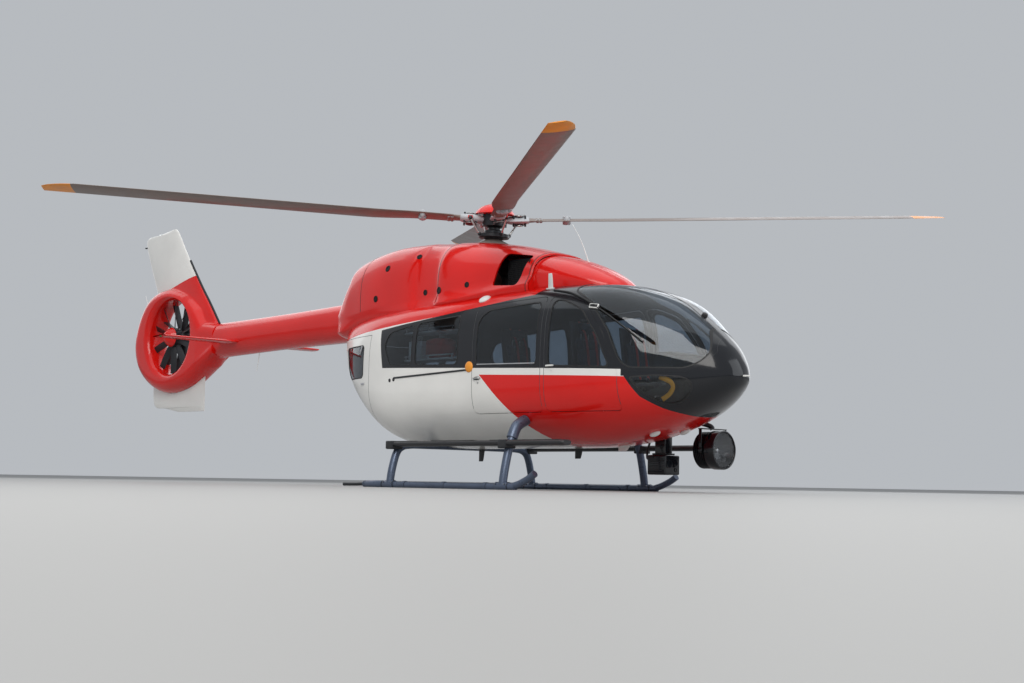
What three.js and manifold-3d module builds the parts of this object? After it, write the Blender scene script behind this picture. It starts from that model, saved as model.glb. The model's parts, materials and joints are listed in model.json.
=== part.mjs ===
// A light twin-engined rescue helicopter on skids, with a four-bladed rotor and a ducted tail fan.
// Millimetres, +X towards the nose, +Y to port, +Z up, floor at z = 0.
// Shapes are worked out around the mast, and the whole machine is then moved so that the middle
// of its outline lies over the origin.
import * as THREE from "three";
import { mergeVertices } from "three/addons/utils/BufferGeometryUtils.js";
import Module from "manifold-3d";

const wasm = await Module();
wasm.setup();

// Driving dimensions
const wall = 35; // cabin wall
const seat = 0.4; // gap between fixed pieces that touch
const doorGap = 6; // gap round a door
const floorZ = 840; // cabin floor, and the lower edge of the door openings
const doorSill = floorZ + doorGap; // lower edge of the doors
const plateRise = 8; // how far the equipment plate stands above the cabin floor
const postGap = 8; // more room behind a cockpit door, whose upper corner swings back at first
const rotor = {
  radius: 5500, tilt: 3, hubX: -200, hubZ: 3250, hubRadius: 150, armReach: 420,
};
const blades = [
  // degrees from the nose towards port, and how far the blade rises towards its tip
  { angle: 47.5, rise: 4 },
  { angle: 142.5, rise: 3.9 },
  { angle: 227.5, rise: 1.3 },
  { angle: 322.5, rise: 1.4 },
];
const fan = {
  x: -7160, y: -60, z: 2220, radius: 560, duct: 575, hub: 150, hubDepth: 130, blades: 10,
  bladeRoot: 100, pitch: 35,
};
const skid = { y: 1190, radius: 38, frontX: 1210, rearX: -650 };
const tubeRadius = 42; // crosstubes
const cockpitHinge = { x: 2500, y: 866 };
const clamshellHinge = { x: -1450, y: 930 };

// Cabin outline, from the nose back: lowest and highest point, half width, height of the widest
// point, and how square the upper and the lower half are.
const hullTable = [
  // x, low, high, half, wide, topPower, lowPower
  [3505, 1185, 1245, 30, 1215, 2, 2],
  [3468, 1105, 1370, 160, 1215, 2, 2],
  [3365, 1010, 1535, 285, 1205, 2.1, 2.1],
  [3210, 900, 1690, 410, 1195, 2.2, 2.2],
  [3010, 800, 1860, 560, 1190, 2.4, 2.2],
  [2780, 712, 2025, 695, 1185, 2.6, 2.3],
  [2500, 620, 2150, 815, 1180, 2.9, 2.3],
  [2150, 540, 2245, 897, 1175, 3.4, 2.3],
  [1750, 490, 2272, 940, 1170, 4, 2.4],
  [1200, 478, 2280, 955, 1170, 4.4, 2.4],
  [-700, 478, 2250, 946, 1180, 4.2, 2.4],
  [-1100, 500, 2237, 928, 1210, 4, 2.5],
  [-1450, 600, 2225, 888, 1270, 3.8, 2.5],
  [-1750, 790, 2210, 815, 1360, 3.6, 2.4],
  [-2050, 1070, 2190, 700, 1500, 3.4, 2.4],
  [-2280, 1390, 2165, 575, 1680, 3.2, 2.3],
  [-2440, 1690, 2140, 440, 1850, 3, 2.3],
];
const cowlingTable = [
  [900, 2150, 2690, 600, 2320, 2.6, 4],
  [500, 2120, 2815, 655, 2320, 2.8, 4],
  [-100, 2080, 2950, 695, 2320, 2.9, 4],
  [-800, 2050, 3010, 705, 2320, 2.8, 4],
  [-1400, 2030, 3010, 690, 2320, 2.7, 4],
  [-1900, 2020, 2950, 635, 2320, 2.6, 4],
  [-2300, 2020, 2870, 520, 2310, 2.5, 4],
  [-2600, 2030, 2780, 370, 2300, 2.4, 4],
  [-2850, 2050, 2690, 240, 2290, 2.3, 4],
];
const fairingTable = [
  [2260, 2100, 2240, 200, 2180, 2, 4],
  [2020, 2150, 2360, 350, 2260, 2.1, 4],
  [1700, 2190, 2480, 440, 2300, 2.2, 4],
  [1300, 2200, 2600, 500, 2320, 2.3, 4],
  [900 + seat, 2200, 2660, 520, 2330, 2.4, 4],
];
const boomTable = [
  [-2440 - seat, 1915, 2446, 260, 2180, 2.4, 2.4],
  [-2900, 1912, 2430, 230, 2170, 2.3, 2.3],
  [-4400, 1893, 2388, 205, 2140, 2.1, 2.1],
  [-5960, 1850, 2365, 180, 2110, 2, 2],
];

// Outlines in side view, as points [x, z].
const outlines = {
  windshield: [[1740, 2420], [1800, 2165], [2110, 2000], [2360, 1680], [2505, 1360], [2590, 1285],
    [3120, 1275], [3250, 1350], [3305, 1450], [3260, 1590], [3190, 1700], [3000, 2420]],
  nose: [[2530, 1290], [2560, 1200], [2700, 985], [2860, 865], [3100, 740], [3700, 700],
    [3700, 2420], [3036, 2420], [3226, 1708], [3296, 1598], [3344, 1448], [3275, 1322],
    [3130, 1240], [2575, 1250]],
  chinWindow: [[2605, 1190], [2700, 1050], [2830, 945], [2940, 900], [3060, 940], [3165, 1050],
    [3175, 1140], [3090, 1195], [2850, 1208]],
  cockpitDoor: [[1568, doorSill], [2487, doorSill], [2487, 1250], [2300, 1665], [2060, 1985],
    [1760, 2100], [1568, 2100]],
  cockpitPane: [[1612, 1335], [2410, 1295], [2240, 1650], [2020, 1935], [1745, 2060], [1612, 2060]],
  slidingDoor: [[450, doorSill], [1506, doorSill], [1506, 2105], [450, 2065]],
  slidingPane: [[505, 1385], [1455, 1345], [1455, 2055], [620, 2015], [505, 1900]],
  rearPane: [[-1010, 1450], [385, 1400], [385, 2010], [-560, 1945], [-1060, 1860], [-1150, 1700]],
  clamshell: [[-1456, 300], [-1456, 1850], [-2700, 1850], [-2700, 300]],
  clamshellPane: [[-1600, 1330], [-1600, 1740], [-2180, 1740], [-2040, 1330]],
  intake: [[430, 2330], [490, 2690], [830, 2640], [780, 2330]],
};

const paint = (color, roughness = 0.25, metalness = 0) =>
  new THREE.MeshStandardMaterial({ color, roughness, metalness });
const materials = {
  red: paint("#c8130c"),
  white: paint("#e9e6df"),
  black: paint("#15171b", 0.2),
  glass: new THREE.MeshStandardMaterial({
    color: "#2c3640", roughness: 0.05, transparent: true, opacity: 0.45,
  }),
  tube: paint("#4a5364", 0.4, 0.6),
  darkMetal: paint("#23262b", 0.5, 0.5),
  steel: paint("#8f959c", 0.35, 0.9),
  blade: paint("#8d8178", 0.5),
  fabric: paint("#2f3136", 0.9),
  panel: paint("#1d1f22", 0.8),
};

// A three.js geometry as a solid, and back
function solidOf(geometry) {
  const bare = geometry.clone();
  bare.deleteAttribute("normal");
  bare.deleteAttribute("uv");
  const merged = mergeVertices(bare, 1e-3);
  const make = (triVerts) => new wasm.Manifold(new wasm.Mesh({
    numProp: 3,
    vertProperties: new Float32Array(merged.attributes.position.array),
    triVerts: new Uint32Array(triVerts),
  }));
  const solid = make(merged.index.array);
  // A shape whose faces came out pointing inwards is turned round.
  return solid.volume() > 0 ? solid : make([...merged.index.array].reverse());
}

function geometryOf(solid) {
  const mesh = solid.getMesh();
  const geometry = new THREE.BufferGeometry();
  geometry.setAttribute("position", new THREE.BufferAttribute(mesh.vertProperties, 3));
  geometry.setIndex(new THREE.BufferAttribute(mesh.triVerts, 1));
  const flat = geometry.toNonIndexed();
  flat.computeVertexNormals();
  return flat;
}

const joined = (first, ...others) => others.reduce((sum, other) => sum.add(other), first);
const without = (first, ...others) => others.reduce((rest, other) => rest.subtract(other), first);

const mirrored = (solid) => solidOf(geometryOf(solid).scale(1, -1, 1));
const bothOf = (solid) => joined(solid, mirrored(solid));

const machine = new THREE.Group();

function place(name, solid, material, parent = machine) {
  const mesh = new THREE.Mesh(geometryOf(solid), material);
  mesh.name = name;
  parent.add(mesh);
  return mesh;
}

// The starboard piece and its mirror image to port
function placePair(name, solid, material) {
  place(`${name}_right`, solid, material);
  place(`${name}_left`, solid, material).scale.y = -1;
}

// A closed solid through rings of points, each ring with as many points as the next
function loft(rings) {
  const sides = rings[0].length;
  const points = rings.flat();
  const middleOf = (ring) =>
    ring.reduce((sum, p) => sum.add(p), new THREE.Vector3()).divideScalar(sides);
  const first = points.push(middleOf(rings[0])) - 1;
  const last = points.push(middleOf(rings[rings.length - 1])) - 1;
  const lastRing = (rings.length - 1) * sides;
  const index = [];
  for (let i = 0; i < sides; i++) {
    const j = (i + 1) % sides;
    index.push(first, j, i, last, lastRing + i, lastRing + j);
    // The two sides of a ring are split into triangles as mirror images.
    const port = Math.cos(((i + 0.5) / sides) * Math.PI * 2) > 0;
    for (let k = 0; k < rings.length - 1; k++) {
      const a = k * sides;
      const b = a + sides;
      if (port) index.push(a + i, a + j, b + i, b + i, a + j, b + j);
      else index.push(a + i, a + j, b + j, a + i, b + j, b + i);
    }
  }
  const geometry = new THREE.BufferGeometry().setFromPoints(points);
  geometry.setIndex(index);
  return solidOf(geometry);
}

// One cross-section across the machine: two half superellipses that meet at the widest height
function crossRing([x, low, high, half, wide, topPower, lowPower], inset, sides) {
  const ring = [];
  for (let i = 0; i < sides; i++) {
    const turn = -(i / sides) * Math.PI * 2;
    const c = Math.cos(turn);
    const s = Math.sin(turn);
    const power = s > 0 ? topPower : lowPower;
    const reach = (Math.abs(c) ** power + Math.abs(s) ** power) ** (-1 / power);
    const height = s > 0 ? high - inset - wide : wide - low - inset;
    const width = Math.max(half - inset, 2);
    ring.push(new THREE.Vector3(x, width * reach * c, wide + Math.max(height, 2) * reach * s));
  }
  return ring;
}

// The body of a table of cross-sections, or the same body made smaller all round
function body(table, inset = 0, sides = 28) {
  const front = table[0][0];
  const back = table[table.length - 1][0];
  const middle = (front + back) / 2;
  const shrink = 1 - (2 * inset) / (front - back);
  const rings = table.map(([x, ...rest]) =>
    crossRing([middle + (x - middle) * shrink, ...rest], inset, sides));
  return loft(rings);
}

// A closed outline in side view, grown outwards by some distance, with rounded corners
function sideShape(points, grow, radius) {
  const count = points.length;
  const vectors = points.map(([x, z]) => new THREE.Vector2(x, z));
  const area = THREE.ShapeUtils.area(vectors);
  const outward = (a, b) => {
    const along = b.clone().sub(a).normalize();
    return new THREE.Vector2(along.y, -along.x).multiplyScalar(Math.sign(area));
  };
  const corners = vectors.map((point, i) => {
    const before = outward(vectors[(i + count - 1) % count], point);
    const after = outward(point, vectors[(i + 1) % count]);
    const middle = before.clone().add(after);
    return point.clone().add(middle.multiplyScalar((2 * grow) / middle.lengthSq()));
  });
  const shape = new THREE.Shape();
  corners.forEach((corner, i) => {
    const previous = corners[(i + count - 1) % count];
    const next = corners[(i + 1) % count];
    const cut = (other) => Math.min(radius, corner.distanceTo(other) * 0.45);
    const start = corner.clone().lerp(previous, cut(previous) / corner.distanceTo(previous));
    const end = corner.clone().lerp(next, cut(next) / corner.distanceTo(next));
    if (i === 0) shape.moveTo(start.x, start.y);
    else shape.lineTo(start.x, start.y);
    shape.quadraticCurveTo(corner.x, corner.y, end.x, end.y);
  });
  shape.closePath();
  return shape;
}

// The outline drawn out across the machine, from one y to another
function sidePrism(points, yLow, yHigh, { grow = 0, radius = 1 } = {}) {
  const geometry = new THREE.ExtrudeGeometry(sideShape(points, grow, radius), {
    depth: yHigh - yLow, bevelEnabled: false, curveSegments: radius > 5 ? 4 : 1,
  });
  geometry.rotateX(Math.PI / 2).translate(0, yHigh, 0);
  return solidOf(geometry);
}

function block([xLow, xHigh], [yLow, yHigh], [zLow, zHigh]) {
  const geometry = new THREE.BoxGeometry(xHigh - xLow, yHigh - yLow, zHigh - zLow);
  geometry.translate((xLow + xHigh) / 2, (yLow + yHigh) / 2, (zLow + zHigh) / 2);
  return solidOf(geometry);
}

// A round bar or disc from one height to another on an upright axis
function upright(x, y, radius, zLow, zHigh, sides = 24) {
  const geometry = new THREE.CylinderGeometry(radius, radius, zHigh - zLow, sides);
  geometry.rotateX(Math.PI / 2).translate(x, y, (zLow + zHigh) / 2);
  return solidOf(geometry);
}

// A round tube along a smooth curve through the points
function bar(points, radius, steps, sides = 10) {
  const circle = new THREE.Shape();
  for (let i = 0; i < sides; i++) {
    const turn = (i / sides) * Math.PI * 2;
    const to = [radius * Math.cos(turn), radius * Math.sin(turn)];
    if (i === 0) circle.moveTo(...to);
    else circle.lineTo(...to);
  }
  circle.closePath();
  const curve = new THREE.CatmullRomCurve3(points.map((p) => new THREE.Vector3(...p)), false,
    "centripetal");
  const geometry = new THREE.ExtrudeGeometry(circle, { steps, extrudePath: curve });
  return solidOf(geometry);
}

// A wing-like section: front and rear edge, thickness, and the plane given by three directions
function foilRing(origin, chordward, thickward, front, rear, thickness, sides = 12) {
  const ring = [];
  for (let i = 0; i < sides; i++) {
    const turn = -(i / sides) * Math.PI * 2;
    const along = 0.5 + 0.5 * Math.cos(turn);
    const depth = Math.sin(turn) * (0.25 + 0.75 * Math.sqrt(along)) * (thickness / 2);
    ring.push(origin.clone()
      .addScaledVector(chordward, rear + (front - rear) * along)
      .addScaledVector(thickward, depth));
  }
  return ring;
}

const [xAxis, yAxis, zAxis] = [[1, 0, 0], [0, 1, 0], [0, 0, 1]].map((v) => new THREE.Vector3(...v));
const far = 1300; // beyond the cabin's side
const starboard = [-far, -120];
const hull = body(hullTable);
const innerTable = hullTable.filter((row, i) => i % 2 === 0);
const shell = hull.subtract(body(innerTable, wall, 20));
const glassShell = body(hullTable, 4).subtract(body(hullTable, 12));
const cut = (name, grow, radius, [yLow, yHigh] = [-far, far]) =>
  sidePrism(outlines[name], yLow, yHigh, { grow, radius });
const bothSides = (name, grow, radius, inner = 120) =>
  joined(cut(name, grow, radius, [-far, -inner]), cut(name, grow, radius, [inner, far]));

// Skids and the tubes that join them, front and rear
const frontTubePath = [[1190, 50], [1165, 200], [1090, 480], [985, 690], [840, 765], [600, 775]];
const rearTubePath = [[1190, 50], [1165, 200], [1105, 390], [1030, 470], [900, 500], [600, 505]];
const acrossPath = (x, half) => [
  ...half.map(([y, z]) => [x, -y, z]),
  ...half.toReversed().map(([y, z]) => [x, y, z]),
];
const skidPath = (y) => [[-1500, y, 33], [-700, y, 33], [1200, y, 33], [1400, y, 48],
  [1570, y, 108], [1690, y, 175]];
const aboveGround = block([-3000, 3000], [-far, far], [0, 1500]);
const skidBar = (extra = 0) => bar(skidPath(-skid.y), skid.radius + extra, 16, 8)
  .intersect(aboveGround);
const crosstubes = {
  front: (extra = 0) => bar(acrossPath(skid.frontX, frontTubePath), tubeRadius + extra, 20, 8),
  rear: (extra = 0) => bar(acrossPath(skid.rearX, rearTubePath), tubeRadius + extra, 20, 8),
};
placePair("skid", skidBar(), materials.darkMetal);
const bothSkids = bothOf(skidBar(seat));
for (const [end, tube] of Object.entries(crosstubes))
  place(`crosstube_${end}`, without(tube(), bothSkids), materials.tube);
const bothTubes = joined(crosstubes.front(seat), crosstubes.rear(seat));
const step = block([-690, 2100], [-1215, -1060], [486, 514]);
placePair("step", without(step, bothTubes), materials.darkMetal);

// Lower fuselage: filled up to the cabin floor, with a tunnel for each crosstube
const belowFloor = block([-1450 + seat, 3700], [-far, far], [0, floorZ]);
const lowerFuselage = without(hull.intersect(belowFloor), cut("nose", 0, 1), bothTubes);
const hookPlate = block([-120, 120], [-120, 120], [460, 500]);
const equipmentPlate = block([900, 1500], [100, 600], [floorZ - plateRise, floorZ + plateRise]);
place("lower_fuselage", joined(lowerFuselage, hookPlate, equipmentPlate), materials.red);

// Cabin frame: roof, posts and rear sides, with every door and window opening cut
const aboveFloor = block([-2600, 3700], [-far, far], [floorZ + seat, 2600]);
const postHalf = 60; // half width of the post between the windshields
const centrePost = block([1700, 3700], [-postHalf, postHalf], [1200, 2600]);
const hinge = {
  // heights of the faces where the fixed plates meet the door's
  cockpit: [960, 1180],
  clamshell: [1130, 1450],
  thick: 30, play: 0.25, halfWidth: 12, reach: 62, rootStart: 14, rootDepth: 105,
};
// The fixed plates of a hinge reach back to the axis from one side, the door's from the other.
function hingePlates({ x, y }, heights, towards, lower) {
  const span = (from, to) => [x + towards * from, x + towards * to].sort((a, b) => a - b);
  const plates = heights.map((z) => {
    const [zLow, zHigh] = lower ? [z - hinge.thick, z - hinge.play] : [z + hinge.play, z + hinge.thick];
    const outer = -y - hinge.halfWidth;
    return joined(
      block(span(-hinge.halfWidth, hinge.reach), [outer, -y + hinge.halfWidth], [zLow, zHigh]),
      block(span(hinge.rootStart, hinge.reach), [outer, -y + hinge.rootDepth], [zLow, zHigh]));
  });
  return joined(...plates);
}
const cockpitFixed = hingePlates(cockpitHinge, hinge.cockpit, 1, true);
const clamshellFixed = hingePlates(clamshellHinge, hinge.clamshell, 1, true);
const windshieldCut = without(cut("windshield", seat, 60), centrePost);
const frame = without(
  shell.intersect(aboveFloor),
  cut("nose", seat, 1),
  windshieldCut,
  bothSides("cockpitDoor", doorGap, 60),
  bothSides("cockpitDoor", doorGap, 60).translate([-postGap, 0, 0]),
  bothSides("slidingDoor", doorGap, 60),
  bothSides("rearPane", seat, 70),
  cut("clamshell", doorGap, 1),
);
place("cabin_frame", joined(frame, bothOf(cockpitFixed), bothOf(clamshellFixed)), materials.red);

// Nose shell with a window low on each side
const noseShell = without(
  shell.intersect(cut("nose", -seat, 1)),
  bothSides("chinWindow", seat, 60, 60),
);
place("nose_shell", noseShell, materials.black);

// Glass
placePair("windshield", glassShell.intersect(cut("windshield", 0, 60, [-far, -postHalf - seat])),
  materials.glass);
const panes = [
  // node, outline, corner radius, inner limit of y
  ["chin_window", "chinWindow", 60, 60],
  ["rear_window", "rearPane", 70, 120],
  ["sliding_door_glass", "slidingPane", 70, 120],
  ["cockpit_door_glass", "cockpitPane", 60, 120],
  ["clamshell_glass", "clamshellPane", 60, 120],
];
for (const [name, outline, radius, inner] of panes)
  placePair(name, glassShell.intersect(cut(outline, 0, radius, [-far, -inner])), materials.glass);

// Doors
// A sliding door is carried by two runners in the roof rail and one in the rail behind it.
const runnerBlocks = joined(
  block([560, 640], starboard, [2000, 2200]),
  block([1320, 1400], starboard, [2000, 2200]),
  block([400, 500], starboard, [1235, 1305]),
);
const runners = shell.intersect(cut("slidingDoor", doorGap - seat, 60, starboard))
  .intersect(runnerBlocks);
const slidingDoor = joined(shell.intersect(cut("slidingDoor", 0, 60, starboard)), runners);
placePair("sliding_door", slidingDoor.subtract(cut("slidingPane", seat, 70, starboard)),
  materials.red);
const cockpitDoor = shell.intersect(cut("cockpitDoor", 0, 60, starboard));
placePair("cockpit_door", joined(
  cockpitDoor.subtract(cut("cockpitPane", seat, 60, starboard)),
  hingePlates(cockpitHinge, hinge.cockpit, -1, false),
), materials.red);
const clamshell = shell.intersect(cut("clamshell", 0, 1, [-far, -doorGap / 2]));
placePair("clamshell_door", joined(
  clamshell.subtract(cut("clamshellPane", seat, 60, starboard)),
  hingePlates(clamshellHinge, hinge.clamshell, -1, false),
), materials.white);

// Cowling over the engines, with an air intake in each side and a hole for the mast
const aroundBoom = body([[-2400, ...boomTable[0].slice(1)], ...boomTable], -1, 24);
const intake = cut("intake", 0, 40, [-far, -380]);
const exhaustCut = block([-2900, -2450], [-310, 310], [2395, 2665]);
const mastHole = upright(rotor.hubX - 15, 0, 250, 2700, 3300, 24);
const cowlingShell = body(cowlingTable, 0, 24).subtract(
  joined(body(cowlingTable, 20, 16), block([-2700, 880], [-600, 600], [2000, 2350])));
place("engine_cowling", without(cowlingShell, body(hullTable, -seat), aroundBoom, bothOf(intake),
  mastHole, exhaustCut), materials.red);
place("front_fairing", without(body(fairingTable, 0, 24), body(hullTable, -seat)), materials.red);

// Engines and gearbox as one plain block, with the exhaust pipes on its rear
const tilted = new THREE.Group();
tilted.position.set(rotor.hubX, 0, rotor.hubZ);
tilted.rotation.y = THREE.MathUtils.degToRad(rotor.tilt);
machine.add(tilted);
tilted.updateMatrix();
const gearboxTop = -450; // from here down, heights on the mast are measured from the hub
const gearboxFoot = -940;
const gearbox = new THREE.CylinderGeometry(230, 280, gearboxTop - gearboxFoot, 24)
  .rotateX(Math.PI / 2).translate(0, 0, (gearboxTop + gearboxFoot) / 2).applyMatrix4(tilted.matrix);
const pipe = { x: -1900, y: 175, z: 2540, bore: 100, radius: 118, length: 760 };
const engines = block([pipe.x, 300], [-470, 470], [2230, 2640]);
place("engines_and_gearbox", without(joined(solidOf(gearbox), engines), body(hullTable, -seat)),
  materials.darkMetal);
const pipeProfile = [[pipe.bore, 0], [pipe.radius, 0], [pipe.radius, pipe.length],
  [pipe.bore, pipe.length], [pipe.bore, 0]];
const exhaust = new THREE.LatheGeometry(pipeProfile.map((p) => new THREE.Vector2(...p)), 24)
  .rotateZ(Math.PI / 2).translate(pipe.x - seat, -pipe.y, pipe.z);
placePair("exhaust", solidOf(exhaust), materials.steel);

// Tail: boom, shroud round the fan, fins and tailplane
const boom = body(boomTable, 0, 24);
place("tail_boom", boom, materials.red);
const shroudPoints = [[-5960 - seat, 2365], [-6270, 2400], [-6440, 2620], [-6800, 2850], [-7300, 2985],
  [-7760, 2890], [-8050, 2590], [-8190, 2150], [-8070, 1760], [-7720, 1480], [-7250, 1360],
  [-6700, 1440], [-6280, 1640], [-5960 - seat, 1855]];
const shroudShape = new THREE.Shape();
shroudShape.moveTo(...shroudPoints[0]);
shroudShape.lineTo(...shroudPoints[1]);
shroudShape.lineTo(...shroudPoints[2]);
shroudShape.splineThru(shroudPoints.slice(3).map((p) => new THREE.Vector2(...p)));
shroudShape.closePath();
const rim = { side: 205, round: 70 };
const shroudGeometry = new THREE.ExtrudeGeometry(shroudShape, {
  depth: 2 * (rim.side - rim.round), bevelEnabled: true, bevelThickness: rim.round,
  bevelSize: rim.round, bevelOffset: -rim.round, bevelSegments: 2, curveSegments: 3,
});
shroudGeometry.rotateX(Math.PI / 2).translate(0, rim.side - rim.round, 0);
const shroudAt = (rise) => solidOf(shroudGeometry.clone().translate(0, 0, rise));
const ductProfile = [[0, -400], [680, -400], [640, -206], [595, -150], [fan.duct, -90],
  [fan.duct, 90], [595, 150], [640, 206], [680, 400], [0, 400]];
const duct = new THREE.LatheGeometry(ductProfile.map((p) => new THREE.Vector2(...p)), 40);
duct.translate(fan.x, 0, fan.z);
const finTable = [
  // z, front x, rear x, thickness
  [2370, -6040, -7600, 190],
  [2700, -6310, -7700, 160],
  [3000, -6570, -7810, 130],
  [3400, -6890, -8010, 108],
  [3830, -7205, -8165, 80],
  [3885, -7250, -7820, 68],
  [3935, -7310, -7420, 44],
];
const lowerFinTable = [
  [1700, -6370, -7810, 90],
  [1200, -6365, -7765, 80],
  [1130, -6362, -7420, 66],
  [1070, -6360, -7060, 44],
];
const finRings = (table) => table.map(([z, front, rear, thickness]) =>
  foilRing(new THREE.Vector3(0, 0, z), xAxis, yAxis, front, rear, thickness));
// The foot of the upper fin is one with the shroud, up to a slanting joint.
const finJoint = (gap) => sidePrism([[-5900, 3360 + gap], [-5900, 1500], [-8400, 1500],
  [-8400, 2720 + gap]], -400, 400);
const upperFin = loft(finRings(finTable));
const shroud = joined(shroudAt(0), upperFin.intersect(finJoint(0))).subtract(solidOf(duct));
place("fan_shroud", shroud, materials.red);
place("upper_fin", without(upperFin, finJoint(seat), shroudAt(seat)), materials.white);
place("lower_fin", loft(finRings(lowerFinTable)).subtract(shroudAt(-seat)), materials.white);
const tailplaneTable = [
  // y, front x, rear x, thickness
  [-150, -5290, -5740, 72],
  [-1250, -5340, -5690, 56],
  [-1310, -5390, -5680, 30],
];
const tailplane = loft(tailplaneTable.map(([y, front, rear, thickness]) =>
  foilRing(new THREE.Vector3(0, y, 2045), xAxis, zAxis, front, rear, thickness)));
placePair("stabilizer", tailplane.subtract(body(boomTable, -seat, 24)), materials.red);

// Fixed vanes and gearbox behind the fan, and the fan itself
const fanAxis = (geometry, y) => solidOf(geometry.translate(fan.x, y, fan.z));
const stator = { vanes: 10, y: 90, width: 110, thick: 16, root: 60, tip: fan.duct + 30, turn: 0.2 };
const fanGearbox = { y: 105, portRadius: 130, radius: 110, length: 200 };
const statorParts = [fanAxis(new THREE.CylinderGeometry(fanGearbox.portRadius, fanGearbox.radius,
  fanGearbox.length, 24), fanGearbox.y)];
for (let i = 0; i < stator.vanes; i++) {
  const vane = new THREE.BoxGeometry(stator.thick, stator.width, stator.tip - stator.root);
  vane.translate(0, 0, (stator.tip + stator.root) / 2);
  vane.rotateY((i / stator.vanes) * Math.PI * 2 + stator.turn);
  statorParts.push(fanAxis(vane, stator.y));
}
const statorRing = new THREE.LatheGeometry(
  [[0, -300], [fan.duct - seat, -300], [fan.duct - seat, 300], [0, 300]]
    .map((p) => new THREE.Vector2(...p)), 40);
place("fan_stator", joined(...statorParts).intersect(fanAxis(statorRing, 0)), materials.darkMetal);

const hubY = fanGearbox.y - (fanGearbox.length + fan.hubDepth) / 2 - seat;
const fanParts = [fanAxis(new THREE.CylinderGeometry(fan.hub, fan.hub - 40, fan.hubDepth, 24)
  .rotateX(Math.PI), hubY)];
const fanBladeTable = [
  // distance from the axis, half chord, thickness
  [fan.bladeRoot, 45, 14],
  [fan.radius, 50, 8],
];
for (let i = 0; i < fan.blades; i++) {
  const turn = new THREE.Matrix4().makeRotationY((i / fan.blades) * Math.PI * 2);
  const pitch = THREE.MathUtils.degToRad(fan.pitch);
  const chordward = new THREE.Vector3(Math.cos(pitch), -Math.sin(pitch), 0);
  const thickward = new THREE.Vector3(Math.sin(pitch), Math.cos(pitch), 0);
  const rings = fanBladeTable.map(([r, half, thick]) =>
    foilRing(new THREE.Vector3(0, 0, r), chordward, thickward, half, -half, thick, 6)
      .map((p) => p.applyMatrix4(turn).add(new THREE.Vector3(fan.x, fan.y, fan.z))));
  fanParts.push(loft(rings));
}
place("tail_fan", joined(...fanParts), materials.darkMetal);

// Inside the cabin
const seatWidth = 460;
function seatAt(x, yMiddle, facing) {
  const across = [yMiddle - seatWidth / 2, yMiddle + seatWidth / 2];
  const profile = [[0, 0], [300, 0], [300, 250], [420, 250], [430, 380], [60, 370], [-60, 1020],
    [-160, 1010], [-90, 300], [0, 270]];
  return sidePrism(profile.map(([px, pz]) => [x + facing * px, floorZ + seat + pz]), ...across,
    { radius: 35 });
}
placePair("pilot_seat", seatAt(1790, -420, 1), materials.fabric);
place("attendant_seat", seatAt(640, -330, 1), materials.fabric);
const panelOutlines = {
  // points [x, height over the floor]
  pedestal: [[2330, 0], [2800, 0], [2860, 330], [2990, 400], [2960, 560], [2780, 600], [2700, 330],
    [2330, 240]],
  dashboard: [[2720, 350], [2960, 420], [2960, 560], [2780, 610]],
};
const onFloor = ([x, z]) => [x, floorZ + seat + z];
const pedestal = sidePrism(panelOutlines.pedestal.map(onFloor), -150, 150);
const dashboard = sidePrism(panelOutlines.dashboard.map(onFloor), -500, 500, { radius: 30 });
place("instrument_panel", joined(pedestal, dashboard).intersect(body(hullTable, wall + 10)),
  materials.panel);
const stretcher = joined(
  block([-1250, 550], [130, 640], [1040, 1130]),
  block([-1150, -1050], [200, 570], [floorZ + seat, 1050]),
  block([350, 450], [200, 570], [floorZ + seat, 1050]),
);
place("stretcher", stretcher, materials.fabric);
const rackShelves = [1150, 1500, 1830].map((z) => block([-900, -50], [-800, -520], [z, z + 25]));
const rackPosts = [-900, -480, -75].map((x) =>
  block([x, x + 25], [-620, -520], [floorZ + seat, 1855]));
place("equipment_rack", joined(...rackShelves, ...rackPosts), materials.white);

// Searchlight and camera box under the nose
const lamp = { x: 2560, y: 730, z: 470, radius: 215, depth: 330 };
const drum = new THREE.CylinderGeometry(lamp.radius, lamp.radius, lamp.depth, 28)
  .rotateZ(Math.PI / 2).translate(lamp.x, lamp.y, lamp.z);
const searchlightArm = bar([[lamp.x, lamp.y, 640], [2500, 690, 730], [2380, 600, 760]], 28, 8, 8);
place("searchlight", without(joined(solidOf(drum), searchlightArm), body(hullTable, -seat)),
  materials.black);
const cameraBox = joined(block([1980, 2240], [300, 560], [190, 410]),
  block([2030, 2190], [360, 500], [400, 660]));
place("camera_box", without(cameraBox, body(hullTable, -seat)), materials.black);

// Main rotor, in the frame that leans forward with the mast
const mastTable = [
  // radius, lowest and highest point
  [68, gearboxTop + seat, 0],
  [190, -205, -155],
  [rotor.hubRadius, -70, 70],
];
const mast = joined(...mastTable.map(([radius, low, high]) => upright(0, 0, radius, low, high, 20)));
const armParts = blades.map(({ angle, rise }) => {
  const arm = new THREE.BoxGeometry(rotor.armReach, 130, 90);
  arm.translate(rotor.armReach / 2, 0, 0);
  arm.rotateY(-THREE.MathUtils.degToRad(rise));
  arm.rotateZ(THREE.MathUtils.degToRad(angle));
  return solidOf(arm);
});
place("rotor_mast_and_hub", joined(mast, ...armParts), materials.darkMetal, tilted);
const capProfile = [[0, 210], [90, 200], [180, 160], [235, 100], [245, 75], [0, 75]];
const cap = new THREE.LatheGeometry(
  capProfile.toReversed().map((p) => new THREE.Vector2(...p)), 32)
  .rotateX(Math.PI / 2).translate(0, 0, seat - 5);
place("rotor_cap", solidOf(cap), materials.red, tilted);

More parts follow.
